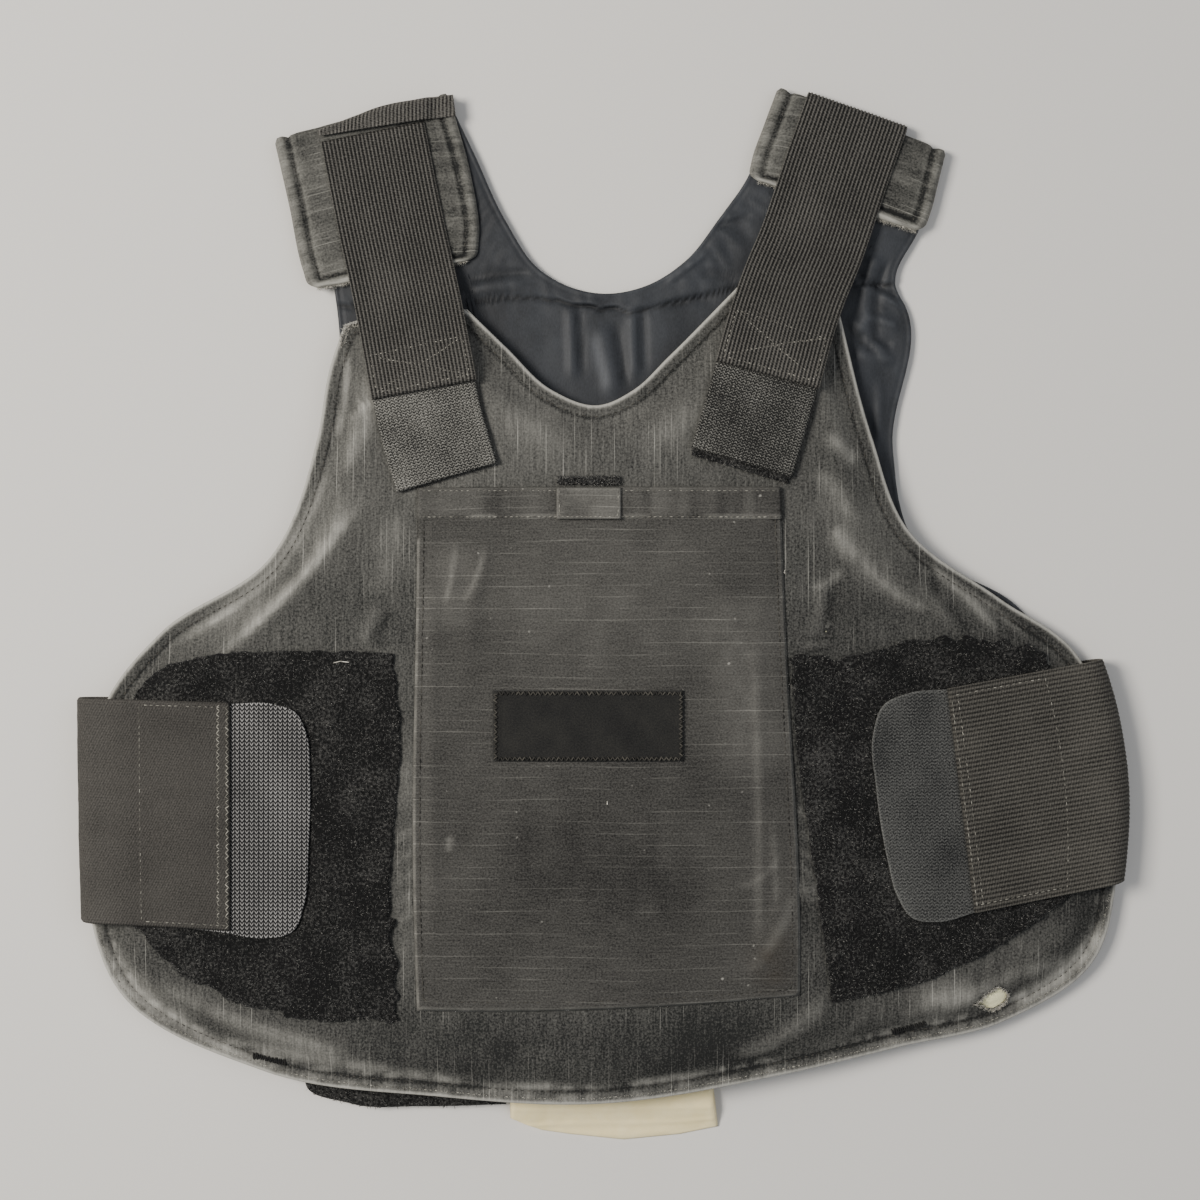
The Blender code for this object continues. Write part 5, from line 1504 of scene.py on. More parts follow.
fastener_edge = even(np.array([(-21.5, 61.3), (8.0, 61.3), (8.0, 65.6), (-21.5, 65.6), (-21.5, 61.3)]), 0.2)
fastener_fuzz = fibres(
    "pocket_pile_fibres", fastener_edge, 420, on_front(OVER_FRONT + LOOP_PILE), 151, 1.5, 0.16
)
dress(fastener_fuzz, "loop_pile")
loop_field("left", LEFT_FIELD, np.array([-155.0, -100.0]), 171, lambda c: ease((-c[:, 1] - 120) / 20))
loop_field("right", RIGHT_FIELD, np.array([160.0, -90.0]), 181, lambda c: ease((c[:, 1] + 40) / 12))

# %% [markdown]
# ## Side straps and tabs
# Each strap comes from under the back panel's hem, folds up round the vest's side and lies on its
# tab. Its path is the same for every column of the grid: a straight run over the front, a half
# circle round the side and a short run underneath. The left strap is a fine plain elastic. The right
# one has cords 2 mm apart along its length.

# %% Side straps
SideStrap = namedtuple("SideStrap", "end fold sewn bulge")
LEFT_SIDE_STRAP = SideStrap(
    end=((-176.8, -41.6), (-176.8, -150.0)),
    fold=((-252.2, -39.6), (-250.4, -146.7)),
    sewn=((-228.0, -40.0), (-232.5, -145.0)),
    bulge=0.4,
)
RIGHT_SIDE_STRAP = SideStrap(
    end=((162.9, -34.9), (176.2, -141.7)),
    fold=((239.5, -21.0), (249.8, -127.5)),
    sewn=((223.0, -26.0), (233.5, -129.0)),
    bulge=6.9,
)


def side_strap_surface(strap, columns=150):
    """Rows from the end over the tab, round the fold, to the sewn end; columns across the strap."""
    end, fold, sewn = (np.array(pair, float) for pair in (strap.end, strap.fold, strap.sewn))
    shares = np.linspace(0, 1, columns)[:, None]
    end_line = end[0] + shares * (end[1] - end[0])
    fold_line = fold[0] + shares * (fold[1] - fold[0])
    sewn_line = sewn[0] + shares * (sewn[1] - sewn[0])
    out = fold_line - end_line
    out /= np.linalg.norm(out, axis=1)[:, None]
    fold_line = fold_line + out * strap.bulge * 4 * shares * (1 - shares)
    half = STRAP_THICK / 2
    low, high = half, FRONT_BASE + FRONT_THICK + OVER_TAB + half
    radius = (high - low) / 2
    centre = fold_line - out * (radius + half)
    rows = []
    for share in np.linspace(0, 1, 46)[:, None]:
        line = end_line + share * (centre - end_line)
        height = front_face(line[:, 0], line[:, 1]) + OVER_TAB + half
        rows.append(np.column_stack([line, height]))
    for turn in np.radians(np.linspace(90, -90, 25)[1:]):
        line = centre + out * radius * math.cos(turn)
        rows.append(np.column_stack([line, np.full(columns, low + radius + radius * math.sin(turn))]))
    for share in np.linspace(0, 1, 10)[1:, None]:
        line = centre + share * (sewn_line - centre)
        rows.append(np.column_stack([line, np.full(columns, low)]))
    return np.array(rows)


def smooth_rows(grid, rounds=2):
    """Evens a grid along its rows, ends kept, as cloth rounds its own corners."""
    grid = grid.copy()
    for _ in range(rounds):
        grid[1:-1] = 0.25 * grid[:-2] + 0.5 * grid[1:-1] + 0.25 * grid[2:]
    return grid


def left_strap_bumps(across, along):
    """A fine weave sunk a little at the stitch lines, and a soft wave."""
    lines = -0.4 * bell(along - 2.4, 0.8) - 0.3 * bell(along - 45, 0.8)
    return lines + 0.25 * rough(across, along, 22, 191) + 0.08 * noise(across, along, 3, 193)


def left_strap_values(across, along, near):
    """Slightly paler at the fold and at the edges."""
    fold = 0.14 * bell(along - 62, 10)
    return {"wear_and_shade": 0.38 + fold + 0.10 * rough(across, along, 20, 195) + 0.10 * bell(near, 1.2)}


def right_strap_bumps(across, along):
    """Round cords along the strap."""
    cords = 0.17 * np.cos(across * 2 * np.pi / CORD_PITCH)
    lines = -0.25 * bell(along - 2.4, 0.7) - 0.25 * bell(along - 6, 0.7)
    return cords + lines + 0.2 * rough(across, along, 24, 197)


def right_strap_values(across, along, near):
    """Uneven and a little paler at the fold."""
    fold = 0.10 * bell(along - 66, 12)
    return {"wear_and_shade": 0.34 + fold + 0.10 * rough(across, along, 16, 199)}


def side_strap(side, strap, bumps, values, material, columns):
    """One side strap. Its middle surface runs so that its normal points up on the front."""
    middle = smooth_rows(side_strap_surface(strap, columns))
    if side == "left":
        middle = middle[:, ::-1]
    made = ribbon(f"side_strap_{side}_elastic", middle, STRAP_THICK, material, bumps, values)
    dress(made, "elastic_webbing", f"side_strap_{side}")
    return middle


left_middle = side_strap("left", LEFT_SIDE_STRAP, left_strap_bumps, left_strap_values, side_elastic, 90)
right_middle = side_strap(
    "right", RIGHT_SIDE_STRAP, right_strap_bumps, right_strap_values, corded_elastic, 260
)
print("side straps:", left_middle.shape, right_middle.shape)

# %% Side tabs
LEFT_SIDE_TAB = (
    Row("sewn end, top", -224, -43, "corner"),
    Row("sewn end, bottom", -224, -147, "corner"),
    Row("bottom edge", -180, -151.2),
    Row("bottom edge, by the corner", -161, -153.6),
    Row("lower corner", -147, -150),
    Row("lower corner, end", -141.5, -137),
    Row("free end, lower", -139.5, -112),
    Row("free end, upper", -138.8, -74),
    Row("upper corner, end", -140.2, -57),
    Row("upper corner", -145.5, -46.5),
    Row("top edge, by the corner", -157, -42.2),
    Row("top edge", -176, -42.2),
)
RIGHT_SIDE_TAB = (
    Row("sewn end, bottom", 217, -130, "corner"),
    Row("sewn end, top", 209, -30, "corner"),
    Row("top edge", 164, -35.2),
    Row("top edge, by the corner", 145, -37),
    Row("upper corner", 132.5, -42.8),
    Row("upper corner, end", 127.6, -56),
    Row("free end, upper", 129, -82),
    Row("free end, lower", 134.5, -116),
    Row("lower corner, end", 139.5, -134),
    Row("lower corner", 146.5, -143.8),
    Row("bottom edge, by the corner", 159, -145.8),
    Row("bottom edge", 177, -141.5),
)


def side_tab(side, rows, pole, material, wear_and_shade):
    """A hook tab: a thin pad with rounded corners and a pressed rim."""
    curve = closed_curve(rows, 1.2)
    far = np.linalg.norm(curve - pole, axis=1).mean()
    depths = np.concatenate([[0, 0.3, 0.8, 1.6, 2.6], np.arange(4, far - 2, 2.2), [far]])

    def base(x, y, d):
        """The pile's top."""
        return front_face(x, y) + OVER_PILE

    def top(x, y, d):
        """Thickness with a pressed rim and a soft curl."""
        rim = -0.25 * bell(d - 1.8, 0.7)
        return base(x, y, d) + TAB_THICK + rim + 0.25 * rough(x, y, 26, 201)

    made = pad(
        f"side_tab_{side}_tape",
        curve,
        pole,
        depths,
        np.append([0, 1, 8], far),
        top,
        base,
        material,
        lambda x, y, d, on_top: {"wear_and_shade": wear_and_shade + 0.12 * rough(x, y, 24, 203) + 0.3 * bell(d, 0.8)},
        soft_edge=0.7,
    )
    dress(made, "hook_tape", f"side_tab_{side}")


side_tab("left", LEFT_SIDE_TAB, np.array([-180.0, -98.0]), plait_tape, 0.0)
side_tab("right", RIGHT_SIDE_TAB, np.array([172.0, -88.0]), twill_tape, 0.0)

# %% [markdown]
# ## Shoulders
# The back panel's shoulder ends are padded flaps, folded forward with a rounded edge. A ribbed elastic
# strap lies on each and comes down over the front, where its tab of hook tape is pressed onto a patch
# of pile. On the right the strap wraps round the top fold. On the left it starts there, and its turned
# end shows as a short ribbed strip that drapes over the fold.

# %% Shoulder tables
Section = namedtuple("Section", "place arm_x arm_y neck_x neck_y")
Station = namedtuple("Station", "place x y rests_on lift")
LEFT_FLAP = (
    Section("free end", -137, 157.0, -66, 169.8),
    Section("rounded corners", -142.2, 159.3, -61, 173.0),
    Section("past the corners", -144.3, 165.0, -60, 179.0),
    Section("middle", -151, 196.0, -63.5, 211.0),
    Section("fold, start", -157.6, 225.2, -73.6, 247.6),
)
RIGHT_FLAP = (
    Section("free end", 150, 184.6, 75, 208.3),
    Section("rounded corners", 155, 187.0, 70.6, 212.2),
    Section("past the corners", 157, 191.5, 71.3, 217.5),
    Section("middle", 161.2, 207.0, 77.2, 235.0),
    Section("fold, start", 164.3, 219.6, 83.0, 250.6),
)
FLAP_FOLD_RADIUS, FLAP_FOLD_FOOT, FLAP_EDGE_RADIUS = 2.2, 2.3, 1.6
FLAP_LEVEL = SHOULDER_THICK + GAP + FLAP_THICK / 2
FLAP_TOP = FLAP_LEVEL + FLAP_THICK / 2
WRAP_RADIUS, WRAP_FOOT_RADIUS, WRAP_TUCK = 5.1, 1.2, 12.0
LEFT_STRAP_LINE = (
    Station("folded end", -110.8, 232.0, "flap", 0),
    Station("flap, middle", -101.0, 183.0, "flap", 0),
    Station("flap, free end", -97.2, 166.0, "flap", 0),
    Station("front, top edge", -92.8, 147.0, "level", 14.4),
    Station("front, past the bevel", -89.2, 129.5, "front", 0.7),
    Station("over the tab's sewn end", -86.9, 118.5, "front", OVER_TAB),
    Station("end", -84.6, 106.2, "front", OVER_TAB),
)
LEFT_TAB_LINE = (
    Station("sewn end", -86.8, 117.0, "front", OVER_PILE),
    Station("middle", -82.0, 93.0, "front", OVER_PILE),
    Station("free end", -73.8, 64.7, "front", OVER_PILE),
)
LEFT_SHOULDER_PILE = (
    Station("upper edge", -86.6, 116.5, "front", OVER_FRONT),
    Station("middle", -81.8, 92.0, "front", OVER_FRONT),
    Station("lower edge", -74.2, 67.0, "front", OVER_FRONT),
)
RIGHT_STRAP_LINE = (
    Station("fold, start", 121.0, 238.2, "flap", 0),
    Station("flap, middle", 111.4, 211.0, "flap", 0),
    Station("flap, free end", 107.4, 199.0, "flap", 0),
    Station("between flap and front", 99.5, 176.4, "level", 11.3),
    Station("front, top edge", 91.5, 157.5, "level", 14.6),
    Station("front, past the bevel", 84.4, 137.0, "front", 0.7),
    Station("over the tab's sewn end", 81.0, 125.5, "front", OVER_TAB),
    Station("end", 77.7, 113.3, "front", OVER_TAB),
)
RIGHT_TAB_LINE = (
    Station("sewn end", 80.6, 124.0, "front", OVER_PILE),
    Station("middle", 74.4, 102.0, "front", OVER_PILE),
    Station("free end", 65.6, 72.0, "front", OVER_PILE),
)
RIGHT_SHOULDER_PILE = (
    Station("upper edge", 80.4, 123.0, "front", OVER_FRONT),
    Station("middle", 74.2, 101.0, "front", OVER_FRONT),
    Station("lower edge", 64.7, 68.8, "front", OVER_FRONT),
)


# %% Flaps
def eased_rows(points, count):
    """A smooth path through a few points, spaced evenly, for each column of a table."""
    points = np.asarray(points, float)
    step = np.linalg.norm(np.diff(points.reshape(len(points), -1), axis=0), axis=1)
    run = np.concatenate([[0], np.cumsum(step)])
    slope = np.gradient(points, run, axis=0)
    at = np.linspace(0, run[-1], count)
    k = np.clip(np.searchsorted(run, at, side="right") - 1, 0, len(run) - 2)
    width = (run[k + 1] - run[k]).reshape(-1, *[1] * (points.ndim - 1))
    t = (at - run[k]).reshape(width.shape) / width
    return (
        (2 * t**3 - 3 * t**2 + 1) * points[k]
        + (t**3 - 2 * t**2 + t) * width * slope[k]
        + (3 * t**2 - 2 * t**3) * points[k + 1]
        + (t**3 - t**2) * width * slope[k + 1]
    )


def flap_surface(table, columns, rows):
    """The flap's middle surface: flat, then rolled down round its top edge to the foot."""
    ends = np.array([[(s.arm_x, s.arm_y), (s.neck_x, s.neck_y)] for s in table], float)
    ends = eased_rows(ends, rows)
    share = np.linspace(0, 1, columns)[None, :, None]
    flat = ends[:, :1] * (1 - share) + ends[:, 1:] * share
    lie = np.dstack([flat, np.full(flat.shape[:2], FLAP_LEVEL)])
    run = ends[-1, 1] - ends[-1, 0]
    out = np.array([-run[1], run[0]]) / np.linalg.norm(run)
    out = np.append(out * math.copysign(1, out[1]), 0)
    rolled = []
    for turn in np.radians(np.linspace(0, 90, 8)[1:]):
        drop = np.array([0, 0, FLAP_FOLD_RADIUS * (1 - math.cos(turn))])
        rolled.append(lie[-1] + out * FLAP_FOLD_RADIUS * math.sin(turn) - drop)
    foot = rolled[-1].copy()
    foot[:, 2] = FLAP_FOLD_FOOT
    return np.array([*lie, *rolled, foot])


def flap_bumps(across, along):
    """Padding between a rolled rim and a deep channel, with short puckers across the rim."""
    width = across.max(axis=1, keepdims=True)
    side = np.minimum(across, width - across)
    edge = np.minimum(side, along + 0.5)
    channel = -1.25 * bell(edge - 6.4, 0.75)
    rim = 0.5 * np.sin(np.pi * np.clip(edge / 6.0, 0, 1)) - 0.2 * bell(edge - 2.0, 0.6)
    plump = 0.5 * ease((edge - 7) / 5)
    pucker = 0.32 * noise(across, along, (7.0, 1.9), 211) * bell(edge - 4.5, 4)
    return channel + rim + plump + pucker + 0.3 * rough(across, along, 15, 213)


def flap_values(across, along, level):
    """Streaks rubbed pale across the rims, the fluffy free end palest, painted shade in the stitched
    channel, and a level with a painted light falloff that darkens it to the right."""
    width = across.max(axis=1, keepdims=True)
    side = np.minimum(across, width - across)
    edge = np.minimum(side, along + 0.5)
    lumps = 0.5 + 0.5 * noise(across, along, (7.0, 1.9), 211)
    rim = bell(edge - 2.5, 2.2) * (0.10 + 0.20 * ease((lumps - 0.2) / 0.6))
    outer = bell(edge, 0.9) * 0.22
    free = bell(along - 1.4, 2.4) * (0.40 + 0.25 * lumps)
    inner = bell(edge - 8.4, 1.5) * 0.13 * (0.4 + lumps)
    # The streaks are rubbed wear; the term in across is a painted light falloff, darker to the right.
    rubbed_streaks_and_painted_falloff = 0.10 * np.clip(noise(across, along, (26, 3.4), 219) + 0.1, 0, 1) - 0.09 * across / width
    # Painted shade in the stitched channel.
    channel = -0.26 * bell(edge - 6.4, 0.9)
    return {
        "wear_and_shade": level + rim + outer + free + inner + channel + rubbed_streaks_and_painted_falloff + 0.12 * rough(across, along, 16, 217)
    }


def flap(side, table, rows, level):
    """One shoulder flap."""
    middle = flap_surface(table, 64, rows)
    if side == "right":
        middle = middle[:, ::-1]
    made = ribbon(
        f"shoulder_flap_{side}_pad",
        middle,
        FLAP_THICK,
        flap_cloth,
        flap_bumps,
        lambda across, along, near: flap_values(across, along, level),
        radius=FLAP_EDGE_RADIUS,
    )
    dress(made, "faded_carrier_cloth", f"shoulder_flap_{side}")
    return middle


left_flap = flap("left", LEFT_FLAP, 62, 0.36)
right_flap = flap("right", RIGHT_FLAP, 44, 0.35)


# %% Shoulder straps, tabs and pile
def line_surface(stations, width, thickness, columns, rows):
    """A strap's middle surface: sections square to a smooth line, resting on what lies under it."""
    line = eased_rows([(s.x, s.y) for s in stations], rows)
    marks = np.array([(s.x, s.y) for s in stations], float)
    run = np.concatenate([[0], np.cumsum(np.linalg.norm(np.diff(marks, axis=0), axis=1))])
    share = run / run[-1]
    tangent = np.gradient(line, axis=0)
    tangent /= np.linalg.norm(tangent, axis=1)[:, None]
    across = np.stack([-tangent[:, 1], tangent[:, 0]], axis=1)
    offset = np.linspace(-0.5, 0.5, columns)[None, :, None] * width
    flat = line[:, None] + across[:, None] * offset
    knots = []
    at = np.linspace(0, 1, rows)
    for station, place in zip(stations, share):
        k = np.abs(place - at).argmin()
        x, y = flat[k, :, 0], flat[k, :, 1]
        if station.rests_on == "front":
            knots.append(front_face(x, y) + station.lift)
        else:
            level = FLAP_TOP + GAP if station.rests_on == "flap" else 0.0
            knots.append(np.full(columns, level + station.lift))
    knots = np.array(knots)
    height = np.column_stack([np.interp(at, share, knots[:, c]) for c in range(columns)])
    return smooth_rows(np.dstack([flat, height + thickness / 2]), 6)


def wrapped(surface):
    """Carries a strap round the flap's rolled end and back under the panel's hem."""
    start_row, next_row = surface[0], surface[1]
    out = start_row.mean(axis=0) - next_row.mean(axis=0)
    out[2] = 0
    out /= np.linalg.norm(out)
    down = np.array([0, 0, -1.0])
    extra = []
    for turn in np.radians(np.linspace(0, 90, 9)[1:]):
        extra.append(start_row + (out * math.sin(turn) + down * (1 - math.cos(turn))) * WRAP_RADIUS)
    foot = extra[-1].copy()
    foot[:, 2] = STRAP_THICK / 2 + WRAP_FOOT_RADIUS
    extra.append(foot)
    for turn in np.radians((30, 60, 90)):
        shift = WRAP_FOOT_RADIUS * (1 - math.cos(turn))
        extra.append(foot - out * shift + down * WRAP_FOOT_RADIUS * math.sin(turn))
    rolled_foot = extra[-1]
    for share in (0.35, 0.7, 1.0):
        extra.append(rolled_foot - out * WRAP_TUCK * share)
    return np.array([*extra[::-1], *surface])


def rib_bumps(across, along):
    """Elastic ribs, 28 across two inches, and a gentle wave."""
    ribs = 0.30 * np.cos(across * 2 * np.pi / RIB_PITCH)
    return ribs + 0.22 * rough(across * 0.5, along, 26, 221)


def rib_values(across, along, near):
    """Uneven, paler towards the sewn end."""
    end = along.max(axis=0, keepdims=True) - along
    return {"wear_and_shade": 0.25 + 0.07 * rough(across, along, 18, 223) + 0.08 * bell(end, 16)}


def tape_bumps(across, along):
    """A thin tape with a pressed rim."""
    return 0.06 * noise(across, along, 2.0, 225) + 0.15 * rough(across, along, 20, 227)


def shoulder(side, strap_line, tab_line, pile_line, wraps, wear_and_shade):
    """One shoulder's strap, its tab and the pile under the tab."""
    middle = line_surface(strap_line, SHOULDER_STRAP_WIDTH, STRAP_THICK, 190, 84)
    if wraps:
        middle = wrapped(middle)
    strap = ribbon(
        f"shoulder_strap_{side}_elastic",
        middle[:, ::-1],
        STRAP_THICK,
        shoulder_elastic,
        rib_bumps,
        rib_values,
    )
    dress(strap, "elastic_webbing", f"shoulder_strap_{side}")
    tab_middle = line_surface(tab_line, SHOULDER_STRAP_WIDTH - 1, TAB_THICK, 50, 52)
    tab = ribbon(
        f"shoulder_tab_{side}_tape",
        tab_middle[:, ::-1],
        TAB_THICK,
        shoulder_tape,
        tape_bumps,
        lambda across, along, near: {"wear_and_shade": wear_and_shade + 0.14 * rough(across, along, 16, 229)},
        radius=0.6,
    )
    dress(tab, "hook_tape", f"shoulder_tab_{side}")
    pile_middle = line_surface(pile_line, SHOULDER_STRAP_WIDTH - 3, LOOP_PILE, 40, 44)
    pile = ribbon(
        f"shoulder_pile_{side}_ground",
        pile_middle[:, ::-1],
        LOOP_PILE,
        pile_base,
        lambda across, along: 0.2 * noise(across, along, 1.4, 231),
        lambda across, along, near: {"wear_and_shade": 0.12 + 0.1 * rough(across, along, 8, 233)},
    )
    dress(pile, "loop_pile", f"shoulder_pile_{side}")
    corners = [
        pile_middle[-7, 0, :2], pile_middle[-1, 0, :2], pile_middle[-1, -1, :2], pile_middle[-7, -1, :2]
    ]
    border = even(np.array([*corners, corners[0]]), 0.25)
    border = border + 0.5 * np.column_stack(
        [noise(border[:, 0], border[:, 1], 1.8, seed) for seed in (235, 237)]
    )
    height = on_front(OVER_FRONT + LOOP_PILE - 0.3)
    fuzz = fibres(f"shoulder_pile_{side}_fibres", border, 700, height, 239)
    dress(fuzz, "loop_pile")
    tab_end = tab_middle[-1, [0, -1], :2]
    end_run = tab_end - tab_middle[-2, [0, -1], :2]
    end_run /= np.linalg.norm(end_run, axis=1)[:, None]
    upper_line, lower_line = (tab_end + end_run * out for out in (-0.6, 1.1))
    fringe_edge = even(np.array([*upper_line, *lower_line[::-1], upper_line[0]]), 0.2)
    fringe = fibres(f"shoulder_pile_{side}_fringe", fringe_edge, 170, on_front(OVER_FRONT + 0.5), 238, 1.5)
    dress(fringe, "loop_pile")
    return middle


left_shoulder = shoulder("left", LEFT_STRAP_LINE, LEFT_TAB_LINE, LEFT_SHOULDER_PILE, False, 0.0)
right_shoulder = shoulder("right", RIGHT_STRAP_LINE, RIGHT_TAB_LINE, RIGHT_SHOULDER_PILE, True, -0.16)
turned_grid = between(
    even(np.array([(-136, 229.3), (-110, 233.6), (-85, 237.4), (-70.7, 239.3)]), 1.0, 240),
    side_curve([(-137, 232.1), (-118, 240.6), (-102.1, 246), (-72.1, 249.8)], 240),
    even(np.array([(-136, 229.3), (-137, 232.1)]), 1.0, 16),
    even(np.array([(-70.7, 239.3), (-72.1, 249.8)]), 1.0, 16),
)


def turned_base(x, y):
    """On the strap, down onto the flap past the strap's side, and down over the flap's fold."""
    beyond = np.clip(y - 225.7 - (x + 157.6) * 0.267, 0, None)
    on_strap = (STRAP_THICK + 0.2) * ease((-80.5 - x) / 5)
    return FLAP_TOP + GAP + 0.3 + on_strap - np.minimum(0.22 * beyond**2, 4.5)


turned_end = laid_sheet(
    "shoulder_strap_turned_end",
    turned_grid,
    turned_base,
    0.9,
    shoulder_elastic,
    lambda x, y, near: 0.22 * np.cos(2 * np.pi * (x - 0.16 * y) / 1.6) + 0.1 * rough(x, y, 8, 271),
    lambda x, y, near: {"wear_and_shade": 0.34 + 0.1 * rough(x, y, 7, 273) + 0.2 * bell(near, 0.8)},
    radius=0.45,
)
dress(turned_end, "elastic_webbing")
print("shoulders done")

# %% [markdown]
# ## Under the bottom edge
# A strip of pile closes the carrier and peeks out at the left. A cream label hangs out at the middle.
# Its end is folded and limp, so it drops from the hem to the surface in small waves. Any printing is
# left off it.

# %% Closure strip and label
CLOSURE_STRIP = (
    Row("upper, left", -140, -216, "corner"),
    Row("worn end", -143.5, -225),
    Row("lower, left", -122, -235.6),
    Row("lower, middle", -88, -237),
    Row("lower, right", -46.6, -236, "corner"),
    Row("upper, right", -46.6, -224, "corner"),
)
strip_curve = closed_curve(CLOSURE_STRIP, 1.0)
strip_pole = np.array([-92.0, -228.5])
strip_far = np.linalg.norm(strip_curve - strip_pole, axis=1).mean()
strip_base = SHOULDER_THICK + GAP


def strip_top(x, y, d):
    """Lumpy pile on the strip."""
    return strip_base + LOOP_PILE + 0.35 * noise(x, y, 1.4, 241) + 0.2 * noise(x, y, 5, 243)


strip_depths = np.concatenate([[0, 0.3, 0.9, 1.8], np.arange(3, strip_far - 2, 1.6), [strip_far]])
strip = pad(
    "closure_strip_ground",
    strip_curve,
    strip_pole,
    strip_depths,
    np.append([0, 1, 5], strip_far),
    strip_top,
    lambda x, y, d: np.full(np.shape(x), strip_base),
    pile_base,
    lambda x, y, d, on_top: {"wear_and_shade": 0.14 + 0.1 * rough(x, y, 9, 245)},
    soft_edge=0.8,
    reach=4.0,
)
dress(strip, "loop_pile", "closure_strip")
strip_fuzz = fibres("closure_strip_fibres", strip_curve, 1500, lambda x, y: strip_top(x, y, 0) - 0.25, 247)
dress(strip_fuzz, "loop_pile")

LABEL_DROP = ((-255.0, 0.0), (-247.0, 0.4), (-238.0, 4.9), (-222.0, 4.9))
label_grid = between(
    even(
        np.array([(-38.2, -246.4), (-30, -249.6), (-16, -251.6), (10, -254.3), (37, -251.6), (55.6, -247.7)]),
        1.0,
        92,
    ),
    side_curve([(-45, -224), (4, -223), (52.5, -222)], 92),
    even(np.array([(-38.2, -246.4), (-44.8, -243.5), (-45, -224)]), 1.0, 30),
    side_curve([(55.6, -247.7), (54.4, -238), (52.5, -222)], 30),
)


def label_base(x, y):
    """The label drops from over the hem to the surface."""
    places, heights = zip(*LABEL_DROP)
    eased = sum(np.interp(y + shift, places, heights) for shift in (-2, 0, 2)) / 3
    return np.maximum(eased, 0)


def label_bumps(x, y, near):
    """Crosswise creases, limp waves and a folded lower edge."""
    waves = 0.8 * noise(x, y, (16, 9), 251) + 0.5 * noise(x, y, (5, 4), 253)
    creases = 0.7 * bell(y + 238 + 2 * noise(x, y * 0, 30, 255), 1.2)
    creases += 0.5 * bell(y + 246 - 0.04 * x + noise(x, y * 0, 20, 259), 1.0)
    return (0.55 + 0.5 * waves + creases) * ease(near / 2.5)


label = laid_sheet(
    "care_label_cloth",
    label_grid,
    label_base,
    LABEL_THICK,
    label_cloth,
    label_bumps,
    lambda x, y, near: {"wear_and_shade": 0.55 + 0.3 * rough(x, y, 12, 257) + 0.15 * bell(near, 1.5)},
    radius=0.5,
)
dress(label, "label_cloth", "care_label")

# %% [markdown]
# ## Thread
# Every seam line shows. Lock stitches are short grains 2 to 3 mm apart that dip into the cloth at both
# ends. The tape ends have a dense zigzag, and bar tacks close the bottom hem. Paths come from the same
# rings and edges as the pieces, so the thread lies in the groove that the relief made for it.


# %% Paths on the front panel and pocket
def on_surface(path, height, lift=0.12):
    """A flat path laid on a height function."""
    return np.column_stack([path, height(path[:, 0], path[:, 1]) + lift])


def front_height(x, y):
    """The front's top at any place."""
    return front_top(x, y, distance_to(np.stack([x, y], axis=-1), FRONT_COARSE))


hem_paths = []
for curve in fan(FRONT, front_pole, np.array([3.1, 6.35])):
    hem_paths.append(on_surface(np.vstack([curve, curve[:1]]), front_height, 0.05))
low_hem = hem_paths[0][hem_paths[0][:, 1] < -140]
tack_ends = (((-167.7, -211), (-151.4, -213.8)), ((137.4, -199), (154.2, -195.1)))
tack_lines = [on_surface(even(np.array(ends), 1.0), front_height, 0.75) for ends in tack_ends]
upper_rows = pocket_grid[2:-2, 2:-2]
pocket_path = np.vstack([upper_rows[::-1, 0], upper_rows[0, 1:], upper_rows[1:, -1]])
pocket_path = on_surface(pocket_path, on_front(OVER_FRONT + POCKET_CLOTH))
hem_lines = [
    on_surface(
        np.column_stack([np.linspace(-86, right, 60), np.full(60, y)]), on_front(hem_lift + POCKET_CLOTH)
    )
    for right, y in ((83, 46.2), (82, 58.6))
]
patch_path = np.array([(-50.6, -67.6), (36.6, -67.6), (36.6, -36.9), (-50.6, -36.9), (-50.6, -67.6)])
patch_path = on_surface(even(patch_path, 1.0), on_front(hem_lift + BADGE_THICK + 0.9))
tab_path = np.array([(-20.6, 58.8), (-20.6, 46.2), (7.1, 46.2), (7.1, 58.8)])
tab_path = on_surface(even(tab_path, 1.0), on_front(tab_lift + POCKET_CLOTH))
print("hem seam, mm:", len(hem_paths[1]) * 1.6)


# %% Paths on the straps
OVER_STRAP = STRAP_THICK / 2 + 0.12


def across_strap(middle, row_share, inset):
    """A line across a strap at a share of its length, on its upper face, a few per cent short of its
    sides."""
    row = middle[int(round(row_share * (len(middle) - 1)))]
    cut = max(1, int(len(row) * inset / 100))
    return row[cut:-cut] + [0, 0, OVER_STRAP]


def along_strap(middle, column_share, first, last):
    """A line along a strap between two shares of its length, on its upper face."""
    column = int(round(column_share * (middle.shape[1] - 1)))
    return middle[int(first * len(middle)) : int(last * len(middle)), column] + [0, 0, OVER_STRAP]


side_lines = [
    across_strap(left_middle, 0.385, 3),
    along_strap(left_middle, 0.025, 0.02, 0.38),
    along_strap(left_middle, 0.975, 0.02, 0.38),
    across_strap(right_middle, 0.014, 3),
    across_strap(right_middle, 0.034, 3),
    across_strap(right_middle, 0.40, 3),
    along_strap(right_middle, 0.035, 0.03, 0.4),
    along_strap(right_middle, 0.965, 0.03, 0.4),
]
shoulder_lines = []
for middle in (left_shoulder, right_shoulder):
    shoulder_lines += [across_strap(middle, share, 5) for share in (0.835, 0.975)]
    shoulder_lines += [along_strap(middle, share, 0.835, 0.975) for share in (0.06, 0.94)]
    steps = np.linspace(0, 1, 40)
    rows = np.round((0.835 + 0.14 * steps) * (len(middle) - 1)).astype(int)
    for turned in (steps, steps[::-1]):
        columns = np.round((0.06 + 0.88 * turned) * (middle.shape[1] - 1)).astype(int)
        shoulder_lines.append(middle[rows, columns] + [0, 0, OVER_STRAP])


